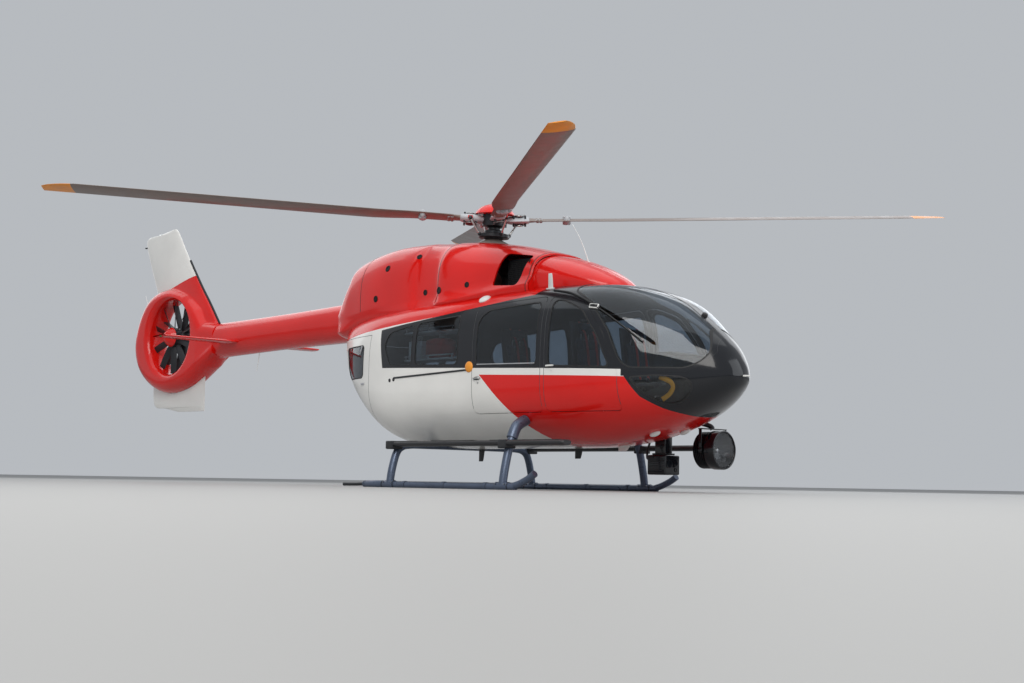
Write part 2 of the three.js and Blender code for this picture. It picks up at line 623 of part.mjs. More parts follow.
const bladeTable = [
  // distance from the mast, front edge, rear edge, thickness
  [rotor.armReach + seat, 55, -55, 84],
  [760, 50, -50, 60],
  [1000, 60, -70, 50],
  [1350, 90, -200, 40],
  [1700, 95, -225, 38],
  [4900, 95, -225, 36],
  [5250, 60, -225, 28],
  [rotor.radius, -60, -225, 14],
];
const bladeSolid = loft(bladeTable.map(([r, front, rear, thickness]) =>
  foilRing(new THREE.Vector3(r, 0, 0), yAxis, zAxis, front, rear, thickness)).reverse());
const damper = new THREE.CylinderGeometry(55, 55, 130, 8).translate(880, 0, 0);
const blade = joined(bladeSolid, solidOf(damper));
blades.forEach(({ angle, rise }, i) => {
  const root = new THREE.Group();
  root.rotation.set(0, -THREE.MathUtils.degToRad(rise), THREE.MathUtils.degToRad(angle), "ZYX");
  tilted.add(root);
  place(`rotor_blade_${i + 1}`, blade, materials.blade, root);
});

// The middle of the whole outline stands over the origin.
machine.updateMatrixWorld(true);
machine.position.x = -new THREE.Box3().setFromObject(machine, true).getCenter(new THREE.Vector3()).x;
const helicopter = new THREE.Group();
helicopter.add(machine);

export default helicopter;
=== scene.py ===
import math

import bmesh
import bpy
from mathutils import Matrix, Vector
from mathutils.bvhtree import BVHTree
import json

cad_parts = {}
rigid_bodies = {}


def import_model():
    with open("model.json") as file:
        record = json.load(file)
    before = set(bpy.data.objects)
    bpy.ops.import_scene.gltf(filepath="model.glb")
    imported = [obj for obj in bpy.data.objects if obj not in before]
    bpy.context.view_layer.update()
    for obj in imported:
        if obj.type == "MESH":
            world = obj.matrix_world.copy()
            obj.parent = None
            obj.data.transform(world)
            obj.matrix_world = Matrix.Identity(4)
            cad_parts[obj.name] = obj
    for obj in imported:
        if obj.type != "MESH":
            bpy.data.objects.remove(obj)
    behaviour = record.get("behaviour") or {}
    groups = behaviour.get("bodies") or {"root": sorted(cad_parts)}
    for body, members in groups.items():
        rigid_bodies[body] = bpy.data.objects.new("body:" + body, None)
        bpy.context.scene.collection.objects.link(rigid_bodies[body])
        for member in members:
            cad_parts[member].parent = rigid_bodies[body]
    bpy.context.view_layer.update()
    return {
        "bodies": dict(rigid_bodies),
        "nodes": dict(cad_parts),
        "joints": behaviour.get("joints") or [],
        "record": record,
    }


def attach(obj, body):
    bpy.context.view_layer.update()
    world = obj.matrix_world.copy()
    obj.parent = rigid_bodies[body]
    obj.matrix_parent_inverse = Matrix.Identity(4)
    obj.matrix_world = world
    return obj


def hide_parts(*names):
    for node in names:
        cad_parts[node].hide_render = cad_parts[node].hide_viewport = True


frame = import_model()
scene = bpy.context.scene

# Shapes are made in metres round the mast, +X to the nose and +Y to port, and moved to the frame at the end.
rotor = {
    "hubX": -0.2, "hubZ": 3.25, "tilt": 3, "radius": 5.5, "pitch": 12,
    # degrees from the nose towards port, and how far the blade rises towards its tip
    "blades": ((47.5, 4), (142.5, 3.9), (227.5, 1.3), (322.5, 1.4)),
}
spin = next(joint for joint in frame["joints"] if joint["name"] == "main_rotor_spin")
shift = spin["pos_m"][0] - rotor["hubX"]
toFrame = Matrix.Translation((shift, 0, 0))
sides = (("right", -1), ("left", 1))


# Camera, floor and light

def makeCamera():
    view = {"place": (12.447, -12.357, 0.08), "yaw": 134.903, "pitch": 5.485, "roll": 0.947, "lens": 51.586}
    data = bpy.data.cameras.new("camera")
    data.lens = view["lens"]
    data.sensor_width = 36
    camera = bpy.data.objects.new("camera", data)
    scene.collection.objects.link(camera)
    camera.location = Vector(view["place"]) + Vector((shift, 0, 0))
    turn = Matrix.Rotation(math.radians(view["yaw"] - 90), 4, "Z")
    turn = turn @ Matrix.Rotation(math.radians(90 + view["pitch"]), 4, "X")
    turn = turn @ Matrix.Rotation(math.radians(view["roll"]), 4, "Z")
    camera.rotation_euler = turn.to_euler()
    data.clip_end = 500
    scene.camera = camera


def setColours():
    # Plain display, so that the paint keeps its strong red
    scene.view_settings.view_transform = "Standard"


def makeStage():
    floor = {"size": 260, "colour": (0.36, 0.36, 0.355, 1), "roughness": 0.65}
    bm = bmesh.new()
    bmesh.ops.create_grid(bm, x_segments=4, y_segments=4, size=floor["size"])
    mesh = bpy.data.meshes.new("studioFloor")
    bm.to_mesh(mesh)
    bm.free()
    plane = bpy.data.objects.new("studioFloor", mesh)
    scene.collection.objects.link(plane)
    look = bpy.data.materials.new("studioFloor")
    look.use_nodes = True
    shader = look.node_tree.nodes["Principled BSDF"]
    shader.inputs["Base Color"].default_value = floor["colour"]
    shader.inputs["Roughness"].default_value = floor["roughness"]
    mesh.materials.append(look)


def makeLights():
    lamps = (
        # name, place, size, power, colour
        ("key", (10, -13, 13), 13, 2300, (1, 0.97, 0.93)),
        ("top", (-1, -1, 14), 20, 900, (0.95, 0.98, 1)),
        ("fill", (16, 7, 7), 12, 560, (0.92, 0.96, 1)),
        ("rear", (-16, 3, 9), 12, 360, (1, 1, 1)),
        ("port", (-2, 16, 8), 13, 600, (0.95, 0.97, 1)),
    )
    for name, place, size, power, colour in lamps:
        data = bpy.data.lights.new(name, "AREA")
        data.size = size
        data.energy = power
        data.color = colour
        lamp = bpy.data.objects.new(name, data)
        scene.collection.objects.link(lamp)
        lamp.location = Vector(place) + Vector((shift, 0, 0))
        aim = Vector((shift - 1, 0, 1.5)) - lamp.location
        lamp.rotation_euler = aim.to_track_quat("-Z", "Y").to_euler()
    world = bpy.data.worlds.new("studio")
    scene.world = world
    world.use_nodes = True
    back = world.node_tree.nodes["Background"]
    back.inputs["Color"].default_value = (0.86, 0.9, 0.95, 1)
    back.inputs["Strength"].default_value = 0.55


makeCamera()
setColours()
makeStage()
makeLights()
print("stage: camera, floor and light are set")


# Materials

def put(tree, kind, inputs=None, **settings):
    made = tree.nodes.new(kind)
    for key, value in settings.items():
        setattr(made, key, value)
    for key, value in (inputs or {}).items():
        if isinstance(value, bpy.types.NodeSocket):
            tree.links.new(value, made.inputs[key])
        else:
            made.inputs[key].default_value = value
    return made


def calc(tree, operation, a, b=0.0):
    return put(tree, "ShaderNodeMath", {0: a, 1: b}, operation=operation).outputs[0]


def machinePoint(tree):
    # Object coordinates, moved so that they are measured from the mast
    coordinates = put(tree, "ShaderNodeTexCoord")
    return put(tree, "ShaderNodeMapping", {
        "Vector": coordinates.outputs["Object"], "Location": (-shift, 0, 0),
    }).outputs[0]


def newLook(name, sockets):
    look = bpy.data.materials.new(name)
    look.use_nodes = True
    tree = look.node_tree
    shader = tree.nodes["Principled BSDF"]
    for key, value in sockets.items():
        shader.inputs[key].default_value = value
    return look, tree, shader


def noiseOf(tree, point, scale, detail=3.0, stretch=None):
    if stretch:
        point = put(tree, "ShaderNodeMapping", {"Vector": point, "Scale": stretch}).outputs[0]
    return put(tree, "ShaderNodeTexNoise", {"Vector": point, "Scale": scale, "Detail": detail}).outputs["Fac"]


def spread(tree, value, low, high):
    return put(tree, "ShaderNodeMapRange", {
        "Value": value, "From Min": 0.3, "From Max": 0.7, "To Min": low, "To Max": high,
    }).outputs[0]


def tinted(tree, colour, value, low, high):
    # The colour, darker and lighter by a noise
    shade = spread(tree, value, low, high)
    return put(tree, "ShaderNodeVectorMath", {0: colour, 1: put(tree, "ShaderNodeCombineXYZ", {
        0: shade, 1: shade, 2: shade,
    }).outputs[0]}, operation="MULTIPLY").outputs[0]


def bumped(tree, shader, height, strength, distance):
    bump = put(tree, "ShaderNodeBump", {"Height": height, "Strength": strength, "Distance": distance})
    tree.links.new(bump.outputs[0], shader.inputs["Normal"])


def paintLook(name, colour, roughness=0.2, coat=0.4, worn=0.06):
    # Sprayed paint: clear coat, faint orange peel, haze that makes the gloss uneven
    look, tree, shader = newLook(name, {
        "Coat Weight": coat, "Coat Roughness": 0.05, "Specular IOR Level": 0.3,
    })
    point = machinePoint(tree)
    haze = noiseOf(tree, point, 1.7, 5)
    grain = noiseOf(tree, point, 55, 2)
    base = put(tree, "ShaderNodeRGB")
    base.outputs[0].default_value = (*colour, 1)
    tree.links.new(tinted(tree, base.outputs[0], haze, 1 - worn, 1 + worn), shader.inputs["Base Color"])
    tree.links.new(spread(tree, haze, roughness * 0.8, roughness * 1.3), shader.inputs["Roughness"])
    bumped(tree, shader, grain, 0.04, 0.002)
    return look


def roughLook(name, colour, roughness, metallic=0.0, scale=40, bump=0.15, worn=0.12, stretch=None, **extra):
    # Plastic, rubber and bare metal: a grain, with colour and gloss that vary a little
    look, tree, shader = newLook(name, {"Metallic": metallic, **extra})
    point = machinePoint(tree)
    broad = noiseOf(tree, point, 4, 5)
    grain = noiseOf(tree, point, scale, 4, stretch)
    base = put(tree, "ShaderNodeRGB")
    base.outputs[0].default_value = (*colour, 1)
    tree.links.new(tinted(tree, base.outputs[0], broad, 1 - worn, 1 + worn), shader.inputs["Base Color"])
    tree.links.new(spread(tree, grain, roughness * 0.8, min(roughness * 1.25, 1)), shader.inputs["Roughness"])
    bumped(tree, shader, grain, bump, 0.001)
    return look


livery = {
    "red": (0.66, 0.007, 0.004),
    "white": (0.78, 0.77, 0.74),
    "black": (0.008, 0.009, 0.012),
    # lines as (x, z) and (x, z), in side view
    "bandTop": ((-1.22, 1.905), (1.28, 2.15)),
    "roofTop": ((-2.4, 1.845), (-1.22, 1.93)),
    "bandLow": ((-1.15, 1.43), (2.43, 1.275)),
    "bandRear": ((-1.16, 1.44), (-1.25, 1.88)),
    "roofFront": ((1.22, 2.1), (1.42, 2.34)),
    "diagonal": ((0.52, 1.32), (1.09, 0.79)),
    "stripe": 0.075, "noseFrom": 2.53, "noseAbove": 1.2,
}


def sideOf(tree, x, z, line):
    # Above the line where it runs forward, in x and z
    (x0, z0), (x1, z1) = line
    slope = (z1 - z0) / (x1 - x0)
    height = calc(tree, "ADD", calc(tree, "MULTIPLY", calc(tree, "SUBTRACT", x, x0), slope), z0)
    return calc(tree, "GREATER_THAN", z, height)


def opposite(tree, value):
    return calc(tree, "SUBTRACT", 1.0, value)


def liveryLook():
    look, tree, shader = newLook("liveryPaint", {"Coat Weight": 0.4, "Coat Roughness": 0.04,
                                                 "Specular IOR Level": 0.3})
    point = machinePoint(tree)
    split = put(tree, "ShaderNodeSeparateXYZ", {0: point})
    x = split.outputs[0]
    z = split.outputs[2]
    aboveBand = sideOf(tree, x, z, livery["bandTop"])
    roofFront = sideOf(tree, x, z, livery["roofFront"])
    aboveLow = sideOf(tree, x, z, livery["bandLow"])
    aheadOfRear = sideOf(tree, x, z, livery["bandRear"])
    band = calc(tree, "MULTIPLY", aboveLow, aheadOfRear)
    roofRed = calc(tree, "MULTIPLY", aboveBand, roofFront)
    noseFrame = calc(tree, "MULTIPLY", calc(tree, "GREATER_THAN", x, livery["noseFrom"]),
                     calc(tree, "GREATER_THAN", z, livery["noseAbove"]))
    black = calc(tree, "MAXIMUM", calc(tree, "MULTIPLY", band, opposite(tree, roofRed)), noseFrame)
    (x0, z0), (x1, z1) = livery["bandLow"]
    under = ((x0, z0 - livery["stripe"]), (x1, z1 - livery["stripe"]))
    belowStripe = opposite(tree, sideOf(tree, x, z, under))
    ahead = sideOf(tree, x, z, livery["diagonal"])
    redLow = calc(tree, "MULTIPLY", belowStripe, ahead)
    redHigh = calc(tree, "MULTIPLY", aboveBand, sideOf(tree, x, z, livery["roofTop"]))
    red = calc(tree, "MAXIMUM", redLow, redHigh)
    haze = noiseOf(tree, point, 1.7, 5)
    grain = noiseOf(tree, point, 55, 2)
    two = put(tree, "ShaderNodeMix", {
        0: red, 6: (*livery["white"], 1), 7: (*livery["red"], 1),
    }, data_type="RGBA")
    three = put(tree, "ShaderNodeMix", {
        0: black, 6: two.outputs[2], 7: (*livery["black"], 1),
    }, data_type="RGBA")
    tree.links.new(tinted(tree, three.outputs[2], haze, 0.95, 1.04), shader.inputs["Base Color"])
    tree.links.new(spread(tree, haze, 0.15, 0.25), shader.inputs["Roughness"])
    bumped(tree, shader, grain, 0.04, 0.002)
    return look


def glassLook(name, tint):
    look, tree, shader = newLook(name, {"Roughness": 0.0, "Transmission Weight": 1.0, "IOR": 1.45})
    smear = noiseOf(tree, machinePoint(tree), 3, 4)
    base = put(tree, "ShaderNodeRGB")
    base.outputs[0].default_value = (*tint, 1)
    tree.links.new(tinted(tree, base.outputs[0], smear, 0.94, 1.05), shader.inputs["Base Color"])
    return look


def bladeLook():
    # Composite skin, grey-brown, with an orange tip
    colours = {"skin": (0.2, 0.155, 0.135), "tip": (0.85, 0.3, 0.03)}
    reach = {"tip": rotor["radius"] - 0.38}
    look, tree, shader = newLook("bladeSkin", {"Coat Weight": 0.15})
    point = machinePoint(tree)
    hub = put(tree, "ShaderNodeMapping", {
        "Vector": point, "Location": (-rotor["hubX"], 0, -rotor["hubZ"]),
    }).outputs[0]
    far = put(tree, "ShaderNodeVectorMath", {0: hub}, operation="LENGTH").outputs["Value"]
    tip = calc(tree, "GREATER_THAN", far, reach["tip"])
    streak = noiseOf(tree, point, 6, 5)
    grain = noiseOf(tree, point, 90, 3)
    mix = put(tree, "ShaderNodeMix", {
        0: tip, 6: (*colours["skin"], 1), 7: (*colours["tip"], 1),
    }, data_type="RGBA")
    tree.links.new(tinted(tree, mix.outputs[2], streak, 0.86, 1.12), shader.inputs["Base Color"])
    tree.links.new(spread(tree, streak, 0.34, 0.52), shader.inputs["Roughness"])
    bumped(tree, shader, grain, 0.1, 0.0006)
    return look


def clothLook(name, colour, scale=420):
    # Woven upholstery: fine crossed threads and a soft sheen
    look, tree, shader = newLook(name, {"Roughness": 0.85, "Sheen Weight": 0.25, "Sheen Roughness": 0.5})
    point = machinePoint(tree)
    across = put(tree, "ShaderNodeTexWave", {"Vector": point, "Scale": scale / 6, "Distortion": 0.4})
    along = put(tree, "ShaderNodeTexWave", {
        "Vector": point, "Scale": scale / 6, "Distortion": 0.4,
    }, bands_direction="Z")
    weave = calc(tree, "MAXIMUM", across.outputs["Fac"], along.outputs["Fac"])
    base = put(tree, "ShaderNodeRGB")
    base.outputs[0].default_value = (*colour, 1)
    fade = noiseOf(tree, point, 5, 4)
    tree.links.new(tinted(tree, base.outputs[0], fade, 0.85, 1.15), shader.inputs["Base Color"])
    bumped(tree, shader, weave, 0.3, 0.0008)
    return look


looks = {
    "livery": liveryLook(),
    "red": paintLook("redPaint", livery["red"]),
    "white": paintLook("whitePaint", livery["white"]),
    "black": paintLook("blackPaint", livery["black"], roughness=0.14),
    "glass": glassLook("tintedGlass", (0.3, 0.36, 0.42)),
    "chin": glassLook("chinGlass", (0.6, 0.63, 0.65)),
    "clear": glassLook("lampGlass", (0.95, 0.97, 1.0)),
    "amber": roughLook("amberPlastic", (0.8, 0.3, 0.03), 0.25, scale=120, bump=0.05),
    "trim": roughLook("cabinTrim", (0.07, 0.072, 0.078), 0.6, scale=160),
    "floor": roughLook("cabinFloor", (0.1, 0.105, 0.11), 0.55, scale=220, bump=0.3),
    "rubber": roughLook("blackRubber", (0.012, 0.012, 0.013), 0.55, scale=90),
    # Near-black that paints the shade inside holes and ducts
    "cavity": roughLook("paintedHoleShade", (0.006, 0.006, 0.007), 0.8, scale=30),
    "gear": roughLook("gearPaint", (0.095, 0.12, 0.175), 0.32, metallic=0.55, scale=30, bump=0.05),
    "dark": roughLook("darkMetal", (0.028, 0.03, 0.034), 0.38, metallic=0.5, scale=60, bump=0.08),
    "steel": roughLook("bareSteel", (0.55, 0.55, 0.54), 0.3, metallic=1.0, scale=45, bump=0.08),
    "cuff": roughLook("greyComposite", (0.4, 0.41, 0.43), 0.38, scale=70, bump=0.1),
    "hot": roughLook("heatedSteel", (0.32, 0.25, 0.2), 0.42, metallic=0.9, scale=18, worn=0.35),
    "plastic": roughLook("blackPlastic", (0.018, 0.018, 0.02), 0.42, scale=140),
    "grip": roughLook("gripTape", (0.02, 0.02, 0.02), 0.95, scale=420, bump=0.8),
    "pale": roughLook("palePlastic", (0.72, 0.72, 0.7), 0.4, scale=110, bump=0.06),
    "boot": roughLook("bootRubber", (0.16, 0.13, 0.115), 0.7, scale=120),
    "blade": bladeLook(),
    "cloth": clothLook("seatCloth", (0.035, 0.042, 0.06)),
    "mattress": clothLook("mattressCloth", (0.03, 0.09, 0.2)),
    "redCloth": clothLook("bagCloth", (0.45, 0.03, 0.02)),
    "screen": paintLook("screenGlass", (0.01, 0.012, 0.016), 0.08),
    # Yellow for the painted reflection behind the starboard chin window
    "yellow": roughLook("paintedReflectionYellow", (0.85, 0.42, 0.01), 0.4, scale=90),
    "green": roughLook("greenLens", (0.02, 0.3, 0.08), 0.15, scale=120, bump=0.03),
    "redLens": roughLook("redLens", (0.5, 0.01, 0.01), 0.15, scale=120, bump=0.03),
}
print("materials: made", len(looks))


# Making meshes

def finish(name, bm, material, body="root", stands=(), sharp=32, place=None):
    # Turns a bmesh made round the mast into a piece that rides on its body
    bmesh.ops.recalc_face_normals(bm, faces=bm.faces)
    mesh = bpy.data.meshes.new(name)
    bm.to_mesh(mesh)
    bm.free()
    return finishMesh(name, mesh, material, body, stands, sharp, place)


def finishMesh(name, mesh, material, body="root", stands=(), sharp=32, place=None):
    mesh.transform(toFrame @ (place or Matrix.Identity(4)))
    mesh.shade_smooth()
    mesh.set_sharp_from_angle(angle=math.radians(sharp))
    piece = bpy.data.objects.new(name, mesh)
    scene.collection.objects.link(piece)
    # Clearing the materials also clears which face has which, so that is read first and put back
    faceSlots = [0] * len(mesh.polygons)
    mesh.polygons.foreach_get("material_index", faceSlots)
    mesh.materials.clear()
    for key in (material if isinstance(material, (tuple, list)) else (material,)):
        mesh.materials.append(looks[key])
    mesh.polygons.foreach_set("material_index", faceSlots)
    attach(piece, body)
    if stands:
        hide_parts(*([stands] if isinstance(stands, str) else stands))
    return piece


def blendRows(rows, t):
    # A smooth curve through the rows of a table, at row number t
    k = min(int(t), len(rows) - 2)
    f = t - k
    last = len(rows) - 1
    near = [rows[min(max(k + i, 0), last)] for i in (-1, 0, 1, 2)]
    made = []
    for p, a, b, n in zip(*near):
        into = (b - p) / 2
        out = (n - a) / 2
        square = f * f * (3 * (b - a) - 2 * into - out)
        cube = f ** 3 * (2 * (a - b) + into + out)
        made.append(a + f * into + square + cube)
    return made


def sheath(bm, rings, around, place, material=0, closedEnds=True):
    # A grid bent round into a tube: place(ring, turn) gives each point, and the seam is welded
    extra = 2 if closedEnds else 0
    total = rings - 1 + extra
    made = bmesh.ops.create_grid(bm, x_segments=total, y_segments=around, size=0.5)
    centres = {}
    for end in (0, rings - 1):
        points = [place(end, i / around * 2 * math.pi) for i in range(around)]
        centres[end] = sum(points, Vector()) / around
    for vert in made["verts"]:
        step = round((vert.co.x + 0.5) * total)
        turn = (vert.co.y + 0.5) * 2 * math.pi
        if closedEnds and step == 0:
            vert.co = centres[0]
        elif closedEnds and step == total:
            vert.co = centres[rings - 1]
        else:
            vert.co = place(step - extra // 2, turn)
    faces = {face for vert in made["verts"] for face in vert.link_faces}
    for face in faces:
        face.material_index = material
    bmesh.ops.remove_doubles(bm, verts=made["verts"], dist=1e-5)


def bodyPoint(row, turn, inset=0.0):
    # A cross-section: two half superellipses that meet at the widest height
    x, low, high, half, wide, topPower, lowPower = row
    c = math.cos(turn)
    s = math.sin(turn)
    power = topPower if s > 0 else lowPower
    reach = (abs(c) ** power + abs(s) ** power) ** (-1 / power)
    height = high - inset - wide if s > 0 else wide - low - inset
    return Vector((x, max(half - inset, 0.002) * reach * c, wide + max(height, 0.002) * reach * s))


def addBody(bm, rows, inset=0.0, around=96, perRow=6, material=0):
    front = rows[0][0]
    back = rows[-1][0]
    middle = (front + back) / 2
    shrink = 1 - 2 * inset / (front - back)

    def place(ring, turn):
        row = blendRows(rows, ring / perRow)
        point = bodyPoint(row, turn, inset)
        point.x = middle + (point.x - middle) * shrink
        return point

    sheath(bm, (len(rows) - 1) * perRow + 1, around, place, material)


def addBox(bm, low, high, bevel=0.0, segments=2, material=0, turn=None):
    low = Vector(low)
    high = Vector(high)
    size = high - low
    place = Matrix.Translation((low + high) / 2) @ Matrix.Diagonal((*size, 1))
    made = bmesh.ops.create_cube(bm, size=1, matrix=place)["verts"]
    faces = {face for vert in made for face in vert.link_faces}
    if bevel:
        edges = {edge for vert in made for edge in vert.link_edges}
        result = bmesh.ops.bevel(bm, geom=list(edges), offset=bevel, segments=segments, profile=0.5,
                                 affect="EDGES", material=-1)
        faces = {face for face in faces if face.is_valid} | set(result["faces"])
    for face in faces:
        face.material_index = material
    if turn:
        verts = {vert for face in faces for vert in face.verts}
        bmesh.ops.transform(bm, matrix=turn, verts=list(verts))


def addRod(bm, start, end, radius, endRadius=None, around=20, material=0, bevel=0.0):
    start = Vector(start)
    end = Vector(end)
    along = end - start
    place = Matrix.Translation((start + end) / 2) @ along.to_track_quat("Z", "Y").to_matrix().to_4x4()
    made = bmesh.ops.create_cone(
        bm, cap_ends=True, segments=around, radius1=radius,
        radius2=radius if endRadius is None else endRadius, depth=along.length, matrix=place)["verts"]
    faces = {face for vert in made for face in vert.link_faces}
    if bevel:
        rims = {edge for face in faces if len(face.verts) > 4 for edge in face.edges}
        result = bmesh.ops.bevel(bm, geom=list(rims), offset=bevel, segments=2, profile=0.5,
                                 affect="EDGES", material=-1)
        faces = {face for face in faces if face.is_valid} | set(result["faces"])
    for face in faces:
        face.material_index = material


def addBall(bm, centre, radii, material=0, around=24):
    place = Matrix.Translation(centre) @ Matrix.Diagonal((*radii, 1))
    made = bmesh.ops.create_uvsphere(bm, u_segments=around, v_segments=around // 2, radius=1, matrix=place)
    for face in {face for vert in made["verts"] for face in vert.link_faces}:
        face.material_index = material


def addLathe(bm, profile, centre, axis, around=64, material=0):
    # A profile of (radius, height) turned about an axis through centre
    axis = Vector(axis).normalized()
    place = Matrix.Translation(centre) @ axis.to_track_quat("Z", "Y").to_matrix().to_4x4()
    verts = [bm.verts.new(place @ Vector((radius, 0, height))) for radius, height in profile]
    edges = [bm.edges.new(pair) for pair in zip(verts, verts[1:])]
    made = bmesh.ops.spin(bm, geom=verts + edges, cent=Vector(centre), axis=axis, angle=2 * math.pi,
                          steps=around, use_merge=True)["geom_last"]
    grown = set(verts) | {item for item in made if isinstance(item, bmesh.types.BMVert)}
    seen = set()
    queue = list(grown)
    while queue:
        vert = queue.pop()
        if vert in seen:
            continue
        seen.add(vert)
        queue.extend(edge.other_vert(vert) for edge in vert.link_edges)
    for face in {face for vert in seen for face in vert.link_faces}:
        face.material_index = material
    bmesh.ops.remove_doubles(bm, verts=list(seen), dist=1e-5)


def addTube(bm, points, radius, around=16, perSpan=8, material=0, squash=None):
    # A round tube along a smooth curve through the points; squash flattens it across
    points = [Vector(point) for point in points]

    def pathAt(t):
        return Vector(blendRows(points, t))

    rings = (len(points) - 1) * perSpan + 1
    frames = []
    side = None
    for ring in range(rings):
        t = ring / perSpan
        along = (pathAt(min(t + 0.02, len(points) - 1)) - pathAt(max(t - 0.02, 0))).normalized()
        if side is None:
            side = along.orthogonal().normalized()
        side = (side - along * side.dot(along)).normalized()
        frames.append((pathAt(t), side.copy(), along.cross(side)))

    def place(ring, turn):
        centre, first, second = frames[ring]
        size = radius(ring / (rings - 1)) if callable(radius) else radius
        point = first * math.cos(turn) * size + second * math.sin(turn) * size
        if squash:
            point = Vector((point.x * squash[0], point.y * squash[1], point.z * squash[2]))
        return centre + point

    sheath(bm, rings, around, place, material)


def grown(outline, grow):
    # The outline with every edge moved outwards
    points = [Vector(point) for point in outline]
    area = sum(a.x * b.y - b.x * a.y for a, b in zip(points, points[1:] + points[:1]))
    turn = 1 if area > 0 else -1
    made = []
    for before, here, after in zip(points[-1:] + points, points, points[1:] + points[:1]):
        first = (here - before).normalized()
        second = (after - here).normalized()
        normals = Vector((first.y, -first.x)) * turn + Vector((second.y, -second.x)) * turn
        made.append(here + normals * (2 * grow / normals.length_squared))
    return made


def addPrism(bm, outline, yLow, yHigh, grow=0.0, corner=0.0, segments=6, material=0):
    # An outline in side view, with rounded corners, drawn out across the machine
    made = grown(outline, grow) if grow else [Vector(point) for point in outline]
    verts = [bm.verts.new((point.x, yLow, point.y)) for point in made]
    face = bm.faces.new(verts)
    if corner:
        shortest = min((a.co - b.co).length for a, b in zip(verts, verts[1:] + verts[:1]))
        bmesh.ops.bevel(bm, geom=verts, offset=min(corner, shortest * 0.45), segments=segments, profile=0.5,
                        affect="VERTICES", material=-1)
        face = next(f for f in bm.faces if all(abs(v.co.y - yLow) < 1e-7 for v in f.verts))
    made = bmesh.ops.extrude_face_region(bm, geom=[face])["geom"]
    moved = [item for item in made if isinstance(item, bmesh.types.BMVert)]
    bmesh.ops.translate(bm, vec=(0, yHigh - yLow, 0), verts=moved)
    bmesh.ops.recalc_face_normals(bm, faces=bm.faces)
    for item in bm.faces:
        item.material_index = material


def meshOf(build, *args, **settings):
    bm = bmesh.new()
    build(bm, *args, **settings)
    bmesh.ops.recalc_face_normals(bm, faces=bm.faces)
    mesh = bpy.data.meshes.new("cutter")
    bm.to_mesh(mesh)
    bm.free()
    return mesh


def combine(mesh, cutter, operation, solver="MANIFOLD"):
    # One mesh cut, joined or kept inside another; both meshes are used up
    first = bpy.data.objects.new("first", mesh)
    second = bpy.data.objects.new("second", cutter)
    for item in (first, second):
        scene.collection.objects.link(item)
    modifier = first.modifiers.new("cut", "BOOLEAN")
    modifier.operation = operation
    modifier.solver = solver
    modifier.object = second
    graph = bpy.context.evaluated_depsgraph_get()
    result = bpy.data.meshes.new_from_object(first.evaluated_get(graph))
    for item in (first, second):
        bpy.data.objects.remove(item)
    bpy.data.meshes.remove(mesh)
    bpy.data.meshes.remove(cutter)
    return result


def keep(mesh, cutter):
    return combine(mesh, cutter, "INTERSECT")


def drop(mesh, cutter):
    return combine(mesh, cutter, "DIFFERENCE")


# Hull

hull = {"wall": 0.035, "gap": 0.006, "seat": 0.0004, "floor": 0.84, "far": 1.3}
hullRows = (
    # x, low, high, half, wide, topPower, lowPower
    (3.505, 1.185, 1.245, 0.030, 1.215, 2.0, 2.0),
    (3.468, 1.105, 1.370, 0.160, 1.215, 2.0, 2.0),
    (3.365, 1.010, 1.535, 0.285, 1.205, 2.1, 2.1),
    (3.210, 0.900, 1.690, 0.410, 1.195, 2.2, 2.2),
    (3.010, 0.800, 1.860, 0.560, 1.190, 2.4, 2.2),
    (2.780, 0.712, 2.025, 0.695, 1.185, 2.6, 2.3),
    (2.500, 0.620, 2.150, 0.815, 1.180, 2.9, 2.3),
    (2.150, 0.540, 2.245, 0.897, 1.175, 3.4, 2.3),
    (1.750, 0.490, 2.272, 0.940, 1.170, 4.0, 2.4),
    (1.200, 0.478, 2.280, 0.955, 1.170, 4.4, 2.4),
    (0.300, 0.478, 2.268, 0.953, 1.172, 4.3, 2.4),
    (-0.700, 0.478, 2.250, 0.946, 1.180, 4.2, 2.4),
    (-1.100, 0.500, 2.237, 0.928, 1.210, 4.0, 2.5),
    (-1.450, 0.600, 2.225, 0.888, 1.270, 3.8, 2.5),
    (-1.750, 0.790, 2.210, 0.815, 1.360, 3.6, 2.4),
    (-2.050, 1.070, 2.190, 0.700, 1.500, 3.4, 2.4),
    (-2.280, 1.390, 2.165, 0.575, 1.680, 3.2, 2.3),
    (-2.440, 1.690, 2.140, 0.440, 1.850, 3.0, 2.3),
)
sill = hull["floor"] + hull["gap"]
